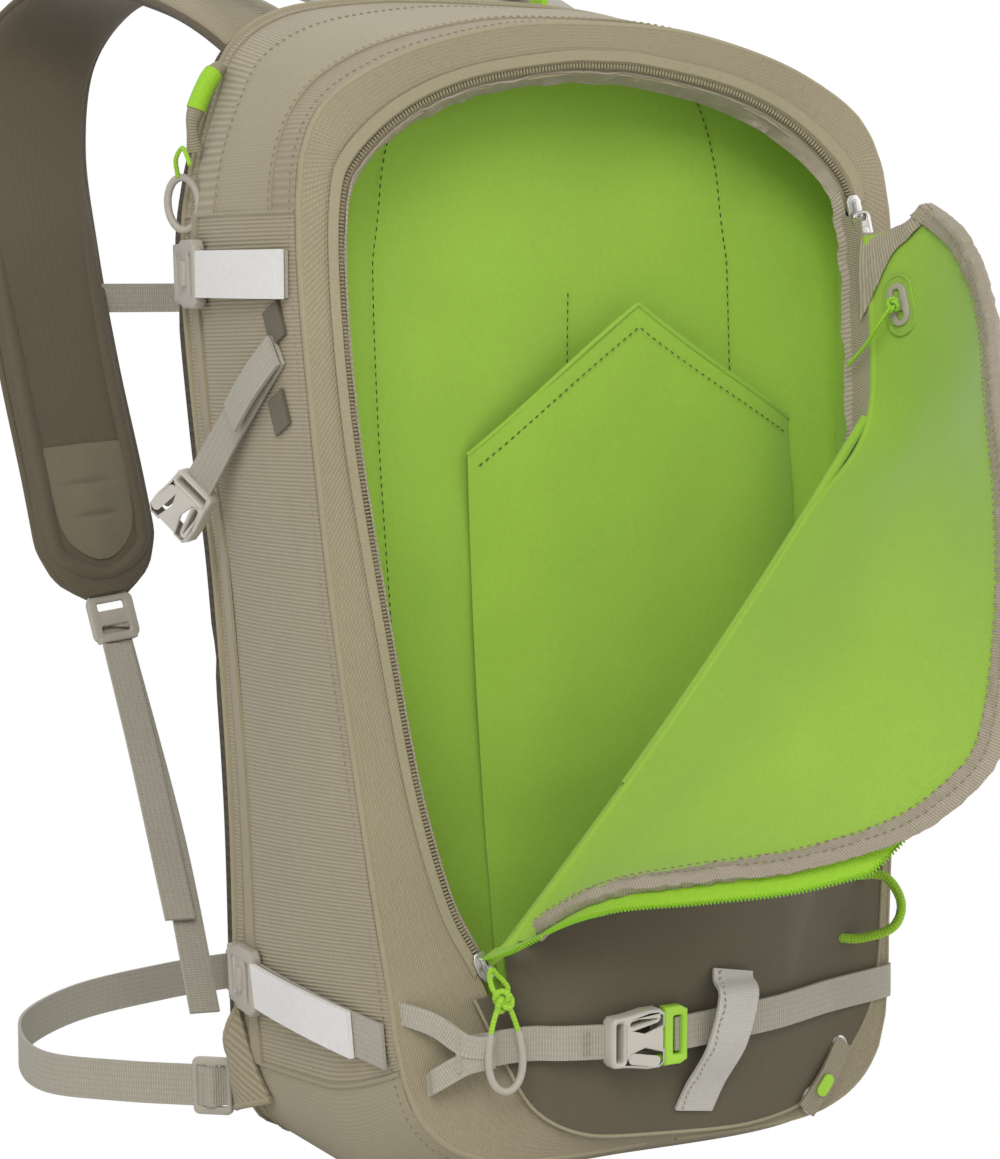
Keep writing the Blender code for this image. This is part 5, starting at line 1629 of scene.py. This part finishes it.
def front_strap():
    lift = WEB / 2 + 0.0006
    clear = BUCKLE_THICK / 2 + 0.0026
    at = front_at(FEMALE_LEFT_X + BUCKLE_LENGTH / 2 + 0.0006, FRONT_STRAP_Z, clear)
    fork = Vector((-0.108, -0.1035, FRONT_STRAP_Z))
    slide = ("pack", "front_socket", Vector((-0.100, 0, 0)), Vector((-0.045, 0, 0)))
    points = [
        fork,
        front_at(-0.074, FRONT_STRAP_Z, lift + 0.0042),
        front_at(-0.058, FRONT_STRAP_Z, lift + 0.003),
        front_at(FEMALE_LEFT_X, FRONT_STRAP_Z, clear) + X * 0.004,
    ]
    webbing("front_web_left", points, WEB_WIDTH, Z, carrier=slide, nodes=["front_strap_left"])
    front_anchor(lift, fork)
    tack = front_at(-0.050, FRONT_STRAP_Z, lift + 0.0064)
    rows = []
    for shift in (-0.0014, 0, 0.0014):
        rows.append(([tack + Vector((shift, 0, -0.006)), tack + Vector((shift, 0, 0.006))], -Y))
    stitches("front_bartack", rows, carrier="front_socket")
    small_socket("front_buckle_socket", frame_matrix(at, X, -Y), 0.86, carrier="front_socket",
                 nodes=["front_buckle_female"])
    tip = at + X * (BUCKLE_LENGTH / 2 + 0.0004)
    small_insert("front_buckle_insert", frame_matrix(tip, X, -Y), nodes=["front_buckle_male"])
    start = tip + X * MALE_BASE * 0.55
    right = seam_point(share_at_height(seam_point, FRONT_STRAP_RIGHT_Z))
    points = [start]
    for f in (0.16, 0.43, 0.70):
        z = between(FRONT_STRAP_Z, FRONT_STRAP_RIGHT_Z, f)
        points.append(front_at(between(start.x, right.x, f), z, lift + 0.0026))
    points += [
        right + Vector((-0.011, -RIM_STEP - 0.0065, 0)),
        right + Vector((0.0005, -0.004, 0)),
        right + Vector((0.0025, 0.006, -0.001)),
    ]
    webbing("front_web_right", points, WEB_WIDTH, Z, nodes=["front_strap_right"])
    keeper()


def front_anchor(lift, fork):
    """The two legs that hold the front strap's left end at the seam."""
    s = share_at_height(seam_point, FRONT_STRAP_Z)
    anchor = mirrored(seam_point(s)) + Vector((0.010, -RIM_STEP - PANEL / 2 - lift - 0.0025, 0))
    width = 0.0095
    for turn, inward, name in ((1, 0.002, "upper"), (-1, 0.009, "lower")):
        leg = [
            anchor + Vector((inward - 0.0115, 0.0080, turn * 0.0165)),
            anchor + Vector((inward - 0.006, 0.0010, turn * 0.0150)),
            anchor.lerp(fork, 0.4) + Z * turn * 0.0115,
            fork + Vector((0.004, -0.0009 - 0.0004 * turn, turn * 0.0040)),
            fork + Vector((0.016, -0.0030, turn * 0.0022)),
        ]
        webbing(f"front_anchor_{name}", leg, width, Z, segments=30)


def keeper():
    """Tape loop over the front strap, sewn down with a zigzag."""
    over = 2 * WEB + STRAP_LIFT + KEEPER_CLEAR
    rises = (KEEPER_EDGE, KEEPER_RISE, over, over, KEEPER_RISE, KEEPER_EDGE)
    places = []
    for share, out in zip((0, 0.20, 0.50, 0.84, 0.94, 1), rises):
        here = KEEPER_BOTTOM.lerp(KEEPER_TOP, share)
        places.append(front_at(here.x, here.z, WEB / 2 + out + LAYER))
    webbing("keeper", places, KEEPER_WIDTH, X, PALE_TAPE, nodes=["keeper_loop"])
    edge = flat_route(places, KEEPER_WIDTH, X)
    zigzag = [edge(i / 60, 0.10 + 0.05 * (i % 2)) - Y * WEB / 2 for i in range(61)]
    stitches("keeper_zigzag", [(zigzag, -Y)], slot="coated_webbing")


def bungee():
    """Elastic loop at the right edge of the front, and the webbing tab with its rings below."""
    high = zip_at_height(AXE_LOOP_HIGH, -AXE_LOOP_SHIFT)
    low = zip_at_height(AXE_LOOP_LOW, -AXE_LOOP_SHIFT)
    seat = -Y * (AXE_LOOP_RADIUS + SIDE_SEAT)
    reach = Vector((AXE_LOOP_REACH, -AXE_LOOP_REACH, 0))
    points = [high + seat - X * AXE_LOOP_RADIUS, high + reach * 0.5 - Y * AXE_LOOP_RADIUS]
    points += [high.lerp(low, 0.4) + reach, high.lerp(low, 0.8) + reach, low + reach * 0.5, low + seat]
    piece = cord("bungee_loop", points, AXE_LOOP_RADIUS, LIME_CORD, facing=Z, rings=60, sides=10,
                 nodes=["axe_loop"])
    declare_cord(piece, points, 60, diameter=2 * AXE_LOOP_RADIUS, far_end="object", stiffness="medium",
                 lay="loose")
    root = zip_at_height(RING_TAB_Z, -0.026) - Y * 0.0055
    tab = [root + Vector((0.012, 0.005, 0.014)), root, root + Vector((-0.012, 0, -0.014))]
    webbing("ring_tab", tab, 0.010, Vector((0.7, 0, -0.5)), TAN_WEBBING, segments=24)
    route = Route(tab)
    for end, label in ((0.12, "upper"), (0.86, "lower")):
        ring = []
        for angle in angles(20):
            ring.append(route.at(end) + Vector((0.0042 * math.cos(angle), 0.0014, 0.0058 * math.sin(angle))))
        cord(f"tab_ring_{label}", ring, 0.0009, BARE_METAL, closed=True, rings=60)
    badge = frame_matrix(route.at(0.62) - Y * 0.0016, Vector((0.6, 0, 0.8)), -Y)
    moulded("tab_badge", [([rounded(0.011, 0.006, 0.0029, steps=6)], 0.0014, 0.0005, badge)], LIME_PLASTIC)


def ski_straps():
    """White coated loops with their hook buckles, high and low on each side."""
    for side, side_name in SIDES:
        for z, level, short in ((SKI_UPPER_Z, "upper", 0), (SKI_LOWER_Z, "lower", 0.026)):
            ski_strap(side, z, f"{level}_{side_name}", short)


def ski_strap(side, z, name, short):
    """Webbing with its buckle, and a coated loop that may end short of it at the front."""
    lift = WEB / 2 + 0.0008
    start = SKI_LOOP_BACK + 0.004
    front = seam_point(share_at_height(seam_point, z)).y + 0.006

    def under(u):
        at, out = side_frame(between(SKI_LOOP_BACK, front, u), z, side)
        return at + out * lift

    def over(u):
        at, out = side_frame(between(start, front + short, u), z, side)
        return at + out * (lift + WEB + 0.0022 - 0.0014 * u)

    across = side_frame(front + short, z, side)[1].cross(Y)
    webbing(f"ski_web_{name}", sampled(under, 8), BELT_WIDTH, across, nodes=[f"ski_strap_{name}"])
    webbing(f"ski_loop_{name}", sampled(over, 8), BELT_WIDTH + 0.001, across, COATED, wall=0.0022)
    at, out = side_frame(SKI_LOOP_BACK + SKI_BUCKLE_LENGTH / 2 + 0.0006, z, side)
    place = frame_matrix(at + out * (SKI_BUCKLE_THICK / 2 + 0.0012), Y, out)
    edge = both_halves([
        (-0.017, -0.0125), (-0.014, -0.0155), (0.004, -0.0155), (0.009, -0.0135), (0.017, -0.0135),
    ])
    slots = [
        rounded(0.0045, BELT_WIDTH * 0.92, 0.001, (-0.010, 0), 3),
        rounded(0.0065, BELT_WIDTH * 0.86, 0.001, (0.009, 0), 3),
    ]
    pad_at = place @ Matrix.Translation((-0.001, 0, SKI_BUCKLE_THICK * 0.5))
    body = f"ski_hook_{name}"
    moulded(f"ski_buckle_body_{name}", [
        ([edge] + slots, SKI_BUCKLE_THICK, 0.0014, place),
        ([rounded(0.008, 0.012, 0.002, steps=3)], 0.003, 0.0010, pad_at),
    ], GREY_PLASTIC, carrier=body, nodes=[f"ski_buckle_{name}"])
    bar = [place @ Vector((0.0095, y, 0.0012)) for y in (-0.0125, 0, 0.0125)]
    cord(f"ski_buckle_bar_{name}", bar, 0.0014, BARE_METAL, facing=out, rings=12, sides=10, carrier=body)


def compression_straps():
    """Loose webbing from the front edge of each side, with half a buckle turned to the front on its end."""
    lift = WEB / 2 + SIDE_SEAT
    clear = BUCKLE_WIDTH * 0.36 + BUCKLE_SEAT
    low = Vector((0, COMPRESSION_Y, COMPRESSION_Z)) + COMPRESSION_DROP
    half_way = low - COMPRESSION_DROP / 2
    for side, name in SIDES:
        root, out = side_frame(COMPRESSION_Y, COMPRESSION_Z, side)
        middle, mid_out = side_frame(half_way.y, half_way.z, side)
        end, end_out = side_frame(low.y, low.z, side)
        along = (end - middle).normalized()
        tip = end + end_out * clear
        face = (end_out - Y * COMPRESSION_TURN).normalized()
        hang = square_to(along, face)
        flat = along.cross(out)
        turned = face.cross(hang)
        turned = turned if turned.dot(flat) > 0 else -turned
        body = f"compression_{name}"

        def across(u, flat=flat, turned=turned):
            return flat.lerp(turned, u)

        points = [root + out * lift, middle + mid_out * (clear * 0.5), tip + hang * 0.004]
        webbing(f"compression_web_{name}", points, WEB_WIDTH, across, carrier=body,
                nodes=[f"compression_strap_{name}"])
        tail = [
            root + out * (lift + 0.0024),
            root.lerp(middle, 0.5) + out * (clear * 0.4 + 0.003),
            middle + mid_out * (clear * 0.5 + 0.003),
        ]
        webbing(f"compression_tail_{name}", tail, WEB_WIDTH, flat, carrier=body, segments=30)
        for rise, label in ((0.014, "upper"), (-0.024, "lower")):
            def spot(u):
                y = COMPRESSION_Y - 0.004 + 0.014 * u
                here, here_out = side_frame(y, COMPRESSION_Z + rise - 0.006 * u, side)
                return here + here_out * 0.0014

            webbing(f"compression_tab_{label}_{name}", sampled(spot, 4), 0.016, flat, DARK_CLOTH, segments=12)
        carry = {"carrier": body, "nodes": [f"compression_buckle_{name}"]}
        if side < 0:
            place = frame_matrix(tip + hang * (BUCKLE_LENGTH / 2 + SIDE_SEAT), hang, face)
            small_socket("compression_socket", place, 0.9, **carry)
        else:
            place = frame_matrix(tip + hang * (MALE_BASE + SIDE_SEAT), -hang, face)
            small_insert("compression_insert", place, **carry)


def top_fittings():
    """Haul loop, sleeved side loop, the main zip's pull and its teeth."""
    rear = BACK_Y + GAP + HAUL_WIDTH / 2
    base = BACK_HEIGHT + 0.0053
    haul = []
    for x, back, rise in ((-0.045, 0, -0.004), (-0.041, 0.001, 0.016), (0, 0.002, 0.026),
                          (0.041, 0.001, 0.016), (0.045, 0, -0.004)):
        haul.append(Vector((x, rear + back, base + rise)))
    webbing("haul_web", haul, HAUL_WIDTH, Y, LIME_TAPE, wall=HAUL_THICK, carrier="haul", nodes=["haul_loop"],
            segments=60)
    marks = []
    for y, z, off in ((0.076, 0.500, 0.0042), (0.074, 0.492, 0.0085), (0.074, 0.474, 0.0095),
                      (0.076, 0.462, 0.0042)):
        at, out = side_frame(y, z, -1)
        marks.append(at + out * off)
    route = Route(marks)
    sleeve = sampled(lambda u: route.at(0.12 + 0.44 * u), 8)
    cord("side_loop_sleeve", sleeve, 0.0047, LIME_TAPE, sides=14, nodes=["side_loop"])
    cord("side_loop_web", marks, lambda u: 0.0034 + 0.0006 * math.sin(14 * u), TAN_WEBBING, rings=60,
         sides=10)
    top, out = side_frame(0.078, 0.452, -1)
    centre = top + out * 0.0074 - Z * 0.014
    wide = (Y + out).normalized() * 0.0080
    tall = Z * 0.0120
    ring = [centre + wide * math.sin(angle) + tall * math.cos(angle) for angle in angles(30)]
    cord("main_zip_ring", ring, 0.0018, GREY_PLASTIC, facing=wide.cross(Z), closed=True, rings=80, sides=10,
         carrier="main_pull", nodes=["main_zip_pull"])
    hook = []
    for rise, off, forward in ((0.012, 0.0024, 0), (0.019, 0.005, 0.004), (0.024, 0.004, 0.010),
                               (0.016, 0.004, 0.018)):
        hook.append(centre + Z * rise + out * off - Y * forward)
    cord("main_zip_cord", hook, 0.0011, LIME_CORD, facing=out, carrier="main_pull")
    for (_, name), start in zip(SIDES, MAIN_ZIP_STARTS):
        line, facing = loop_row(MAIN_ZIP_LEVEL, start, start + MAIN_ZIP_RUN, 120)
        zip_teeth(f"main_zip_coil_{name}", line, facing, 0.0036, COIL_PLASTIC)


def back_panel():
    def dent(at, middle, width):
        return math.exp(-((at - middle) / width) ** 2)

    def place(u, w):
        z = row_height(BACK_PAD_EDGE, BACK_HEIGHT - BACK_PAD_EDGE, w)
        f = 2 * u - 1
        crown = BACK_CROWN * (1 - f**4) * (1 - (2 * w - 1) ** 6)
        groove = 0.0035 * dent(abs(f), 0.30, 0.035) + 0.0030 * (dent(w, 0.28, 0.012) + dent(w, 0.55, 0.012))
        half = back_point(share_at_height(back_point, z)).x
        return Vector((half * f, BACK_Y + BACK_PAD / 2 + GAP + crown - groove, z))

    pad = cloth("back_padding", 60, 80, place, BACK_MESH, wall=BACK_PAD, edge=0.0022, nodes=["back_panel"])
    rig.padded(pad, fill=0.7)
    radius = 0.0024
    rim = sampled(lambda u: above_floor(loop_tunnel(whole_loop(u), 0.0, LAYER) + Y * 0.0012, radius), 140)
    cord("back_binding", rim, radius, TAN_SMOOTH, rings=300)
    sheet = frame["nodes"]["frame_sheet"].data
    sheet.materials.clear()
    sheet.materials.append(SHEET_PLASTIC)


def pad_place(route, t, angle, swell=0.0):
    along = route.along(t)
    wide = square_to(X, along)
    a, b = pad_section(t, angle)
    grow = 1 + swell / max(math.hypot(a, b), 0.001)
    return route.at(t) + wide * a * grow + along.cross(wide) * b * grow


def face_angle(share):
    """Angle round a pad's section at a share of its half width across the face towards the wearer."""
    return math.acos(math.copysign(abs(share) ** (1 / PAD_SQUARENESS), share))


def shoulder_pad(route, name):
    def skin(first):
        def place(u, w):
            return pad_place(route, u, first + math.pi * w)
        return place

    def trim(label, points, radius, rings, sides=8):
        cord(f"shoulder_{label}_{name}", points, radius, HARNESS_CLOTH, rings=rings, sides=sides,
             carrier="harness")

    pad = cloth(f"shoulder_inner_{name}", 100, 18, skin(0), HARNESS_CLOTH, wall=THIN, slack=(0.05, 0.0008),
                carrier="harness", nodes=[f"shoulder_pad_{name}"])
    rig.padded(pad, fill=0.7)
    cloth(f"shoulder_outer_{name}", 100, 18, skin(math.pi), TAN_RIBBED, wall=THIN, carrier="harness")
    for angle, label in ((0, "a"), (math.pi, "b")):
        trim(f"binding_{label}", sampled(lambda t: pad_place(route, t, angle, 0.0004), 60), 0.0019, 160)
    for t, label in ((0.0, "top"), (1.0, "end")):
        bm = bmesh.new()
        bm.faces.new([bm.verts.new(pad_place(route, t, angle)) for angle in angles(24)])
        finished(f"shoulder_cap_{label}_{name}", bm, HARNESS_CLOTH, carrier="harness", wall=THIN)

    def roll(u):
        """Rolled edge down one side of the pad's face, round its end and up the other side."""
        swing = clamped((u - 0.35) / 0.3)
        t = 0.60 + 0.355 * min(1, u / 0.35, (1 - u) / 0.35) + 0.028 * hump(swing)
        return pad_place(route, t, face_angle(0.84 * math.cos(math.pi * swing)), -0.0016)

    trim("roll", sampled(roll, 60), lambda u: 0.0040 * min(1, 0.3 + 3 * min(u, 1 - u)), 160, 12)

    def patch(u, w):
        taper = (1 - 0.2 * u) * math.sqrt(max(0.02, 1 - max(0, (u - 0.6) / 0.4) ** 2))
        bulge = 0.0022 * (1 - (2 * w - 1) ** 2) * hump(u)
        for along, across, reach in ((0.34, 0.42, 0.30), (0.62, 0.52, 0.26)):
            crease = math.exp(-((u - along) / 0.030) ** 2) * math.exp(-((w - across) / reach) ** 4)
            bulge -= 0.0018 * crease
        return pad_place(route, 0.865 + 0.105 * u, face_angle(0.70 * taper * (2 * w - 1)), 0.0014 + bulge)

    cloth(f"shoulder_patch_{name}", 70, 30, patch, PATCH_CLOTH, wall=THIN, carrier="harness")


def sided(points, side):
    """A line given for the left side, on either side."""
    return [on_side(mirrored(point), side) for point in points]


def lock_outlines(length, width, corner, slot, web, spread):
    """A web lock's edge and its two slots."""
    slots = [rounded(slot, web, 0.001, (x, 0), 3) for x in (-spread, spread)]
    return [rounded(length, width, corner, steps=4)] + slots


def harness():
    for side, name in SIDES:
        route = Route(sided(PAD_LINE, side))
        shoulder_pad(route, name)
        end, down = route.at(1), route.along(1)
        lock_at = end + down * 0.0126
        place = frame_matrix(lock_at, down, down.cross(X).normalized())
        moulded(f"ladder_lock_body_{name}", [
            (lock_outlines(0.024, 0.025, 0.004, 0.004, WEB_WIDTH, 0.006), LOCK, 0.0010, place),
            ([rounded(0.003, 0.021, 0.001, (0.011, 0), 3)], LOCK * 1.3, 0.0008, place),
        ], GREY_PLASTIC, carrier="harness", nodes=[f"ladder_lock_{name}"])
        web_top = lock_at + down * 0.014
        anchor = on_side(mirrored(WEB_ANCHOR), side)
        sag = web_top.lerp(anchor, 0.5) + Vector((0, -0.012, -0.006))
        swing = ("pack", "harness", anchor, web_top)
        webbing(f"shoulder_webbing_{name}", [lock_at + down * 0.004, web_top, sag, anchor], WEB_WIDTH, X,
                carrier=swing, segments=90, nodes=[f"shoulder_web_{name}"])
        shift = Vector((0.002 * side, -0.0024, 0))
        tail = [web_top + shift, web_top.lerp(sag, 0.6) + shift * 2.2, sag.lerp(anchor, 0.45) + shift * 3.0]
        webbing(f"shoulder_tail_{name}", tail, WEB_WIDTH, X, carrier=swing, segments=70)
        lifter(side, name, route)
    sternum()


def lifter(side, name, route):
    """Load lifter from the top of the back to its lock on the shoulder pad."""
    at, along = route.at(0.285), route.along(0.285)
    up = along.cross(square_to(X, along))
    up = up if up.z > 0 else -up
    seat = at + up * (HARNESS_THICK / 2 + LOCK / 2 + 0.0004)
    shape = lock_outlines(0.022, 0.022, 0.003, 0.004, WEB_WIDTH, 0.005)
    moulded(f"lifter_lock_body_{name}", [(shape, LOCK, 0.0010, frame_matrix(seat, along, up))], GREY_PLASTIC,
            carrier="harness", nodes=[f"lifter_lock_{name}"])
    far = seat - along * 0.0116
    near = on_side(Vector((0.064, BACK_Y + BACK_PAD * 0.5, BACK_HEIGHT - 0.002)), side)
    points = [near, near.lerp(far, 0.5) + Z * 0.004, far + along * 0.004]
    webbing(f"lifter_web_{name}", points, WEB_WIDTH, X, carrier=("pack", "harness", near, far),
            nodes=[f"load_lifter_{name}"])


def sternum():
    inner, half = 0.1082, STERNUM_BUCKLE / 2
    middle = Vector((0, STERNUM_Y, STERNUM_Z))
    for side, name in SIDES:
        points = [middle + X * side * x for x in (inner, (inner + half) / 2, half - 0.003)]
        webbing(f"sternum_web_{name}", points, WEB_WIDTH, Z, carrier="sternum",
                nodes=[f"sternum_strap_{name}"])
    whole_buckle("sternum", middle, STERNUM_BUCKLE, BUCKLE_WIDTH * 0.9, BUCKLE_THICK * 0.8)


def whole_buckle(name, at, length, width, thick):
    """A closed side-release buckle: grey socket and insert."""
    socket = length * 0.68
    place = frame_matrix(at - X * (length - socket) / 2, X, Y)
    tip = frame_matrix(at + X * (length / 2 - (length - socket)), X, Y)
    moulded(f"{name}_socket", socket_plates(place, socket, width, thick), GREY_PLASTIC, carrier=name,
            nodes=[f"{name}_buckle"])
    plates = insert_plates(tip, length - socket, width, thick * 0.7, socket * ARM_REACH)
    moulded(f"{name}_insert", plates, GREY_PLASTIC, carrier=name)


def hip_belt():
    for side, name in SIDES:
        line = sided(BELT_LINE, side)
        along = Route(line).along(0.0)
        out = along.cross(Z).normalized()
        out = -out if out.x * side < 0 else out
        at = line[0] - along * 0.0106
        webbing(f"hip_web_{name}", [at + along * 0.002] + line, BELT_WIDTH, Z, carrier="hip", segments=110,
                nodes=[f"hip_belt_{name}"])
        shape = lock_outlines(0.020, 0.028, 0.003, 0.005, BELT_WIDTH, 0.005)
        moulded(f"tri_glide_body_{name}", [(shape, LOCK, 0.0012, frame_matrix(at, along, out))], GREY_PLASTIC,
                carrier="hip", nodes=[f"tri_glide_{name}"])
        tip = at - along * 0.0122
        hip_wing(side, name, tip)
        threaded = [
            tip - along * 0.004,
            at - along * 0.006 - out * 0.0012,
            at + out * (LOCK / 2 + WEB),
            at + along * 0.006 - out * 0.0012,
        ]
        webbing(f"hip_thread_{name}", threaded, BELT_WIDTH - 0.001, Z, carrier="hip", segments=24)
    middle = Vector((0, BELT_LINE[-1].y, BELT_LINE[-1].z))
    whole_buckle("hip", middle, HIP_BUCKLE, HIP_BUCKLE_WIDTH, BUCKLE_THICK)


def hip_wing(side, name, tip):
    def place(u, w):
        root, out = side_frame(WING_FRONT + WING_RAKE * w, WING_BOTTOM + WING_HEIGHT * w, side)
        root = root + out * (PANEL / 2 + 0.0006)
        end = tip + Z * (w - 0.5) * BELT_WIDTH
        return root.lerp(end, u) + X * side * 0.006 * hump(u)

    swing = ("pack", "hip", place(0, 0.5), place(1, 0.5))
    cloth(f"hip_wing_cloth_{name}", 40, 24, place, TAN_DIAGONAL, turn=0.7, carrier=swing,
          nodes=[f"hip_wing_{name}"])
    for w, label in ((0, "low"), (1, "high")):
        line = sampled(lambda u: place(u, w), 20)
        cord(f"hip_wing_binding_{label}_{name}", line, 0.0018, TAN_SMOOTH, facing=Z, rings=50, carrier=swing)


def shown_white(tree, output):
    """Makes a surface or the sky plain white where the camera sees it, with its light left as it is."""
    end = tree.nodes[output].inputs["Surface"]
    sketch = Sketch(tree)
    mix = sketch.add("MixShader")
    white = sketch.add("Emission")
    white.inputs["Strength"].default_value = 1.0
    sketch.join(sketch.add("LightPath").outputs["Is Camera Ray"], mix.inputs["Fac"])
    sketch.join(end.links[0].from_socket, mix.inputs[1])
    sketch.join(white.outputs["Emission"], mix.inputs[2])
    sketch.join(mix.outputs["Shader"], end)


def aimed(name, data, place, target):
    """A lamp or camera that looks at the target."""
    obj = added(name, data)
    obj.location = place
    obj.rotation_euler = (Vector(target) - obj.location).to_track_quat("-Z", "Y").to_euler()
    return obj


# Where each lamp stands, how wide it is and its power in watts
LAMPS = {
    "key": ((-1.3, -1.9, 1.9), 1.3, 34),
    "fill": ((1.9, -1.3, 1.2), 1.6, 12),
    "rear": ((0.4, 2.0, 1.8), 1.4, 16),
}
LAMP_TARGET = (0, 0, 0.27)
CAMERA_PLACE = (-0.7075, -1.2254, 0.41)
CAMERA_TARGET = (-0.0227, 0.013, 0.267)
CAMERA_LENS = 95.36
CAMERA_SENSOR = 36
SKY_STRENGTH = 0.62
FLOOR_COLOUR = (0.80, 0.80, 0.80, 1)
FLOOR_RADIUS = 14
FLOOR_DROP = 0.0008


def studio():
    """Plain pale floor, soft light and the camera at the photograph's angle."""
    scene = bpy.context.scene
    bm = bmesh.new()
    bmesh.ops.create_circle(bm, cap_ends=True, segments=96, radius=FLOOR_RADIUS)
    floor = added("floor", taken_mesh("floor", bm))
    floor.location.z = CAD_BOX[0][2] - FLOOR_DROP
    material, _, shader = blank("floor_paper")
    shader["Base Color"].default_value = FLOOR_COLOUR
    shader["Roughness"].default_value = 0.9
    shown_white(material.node_tree, "Material Output")
    floor.data.materials.append(material)
    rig.stage(floor)
    world = bpy.data.worlds.new("studio")
    world.use_nodes = True
    sky = world.node_tree.nodes["Background"].inputs
    sky["Color"].default_value = (1, 1, 1, 1)
    sky["Strength"].default_value = SKY_STRENGTH
    shown_white(world.node_tree, "World Output")
    scene.world = world
    for name, (place, size, power) in LAMPS.items():
        lamp = bpy.data.lights.new(name, "AREA")
        lamp.size = size
        lamp.energy = power
        aimed(name, lamp, place, LAMP_TARGET)
    lens = bpy.data.cameras.new("camera")
    lens.lens = CAMERA_LENS
    lens.sensor_fit = "VERTICAL"
    lens.sensor_height = CAMERA_SENSOR
    lens.sensor_width = CAMERA_SENSOR
    scene.camera = aimed("camera", lens, CAMERA_PLACE, CAMERA_TARGET)
    scene.view_settings.view_transform = "Standard"


studio()
body_panels()
front_rim()
pocket_lining()
pocket_zip()
front_panel()
flap()
eyelet()
sliders()
front_strap()
bungee()
ski_straps()
compression_straps()
top_fittings()
back_panel()
harness()
hip_belt()
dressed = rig.bounds()
with open("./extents.json", "w") as note:
    json.dump({"cad": [list(c) for c in CAD_BOX], "visual": [list(c) for c in dressed]}, note)
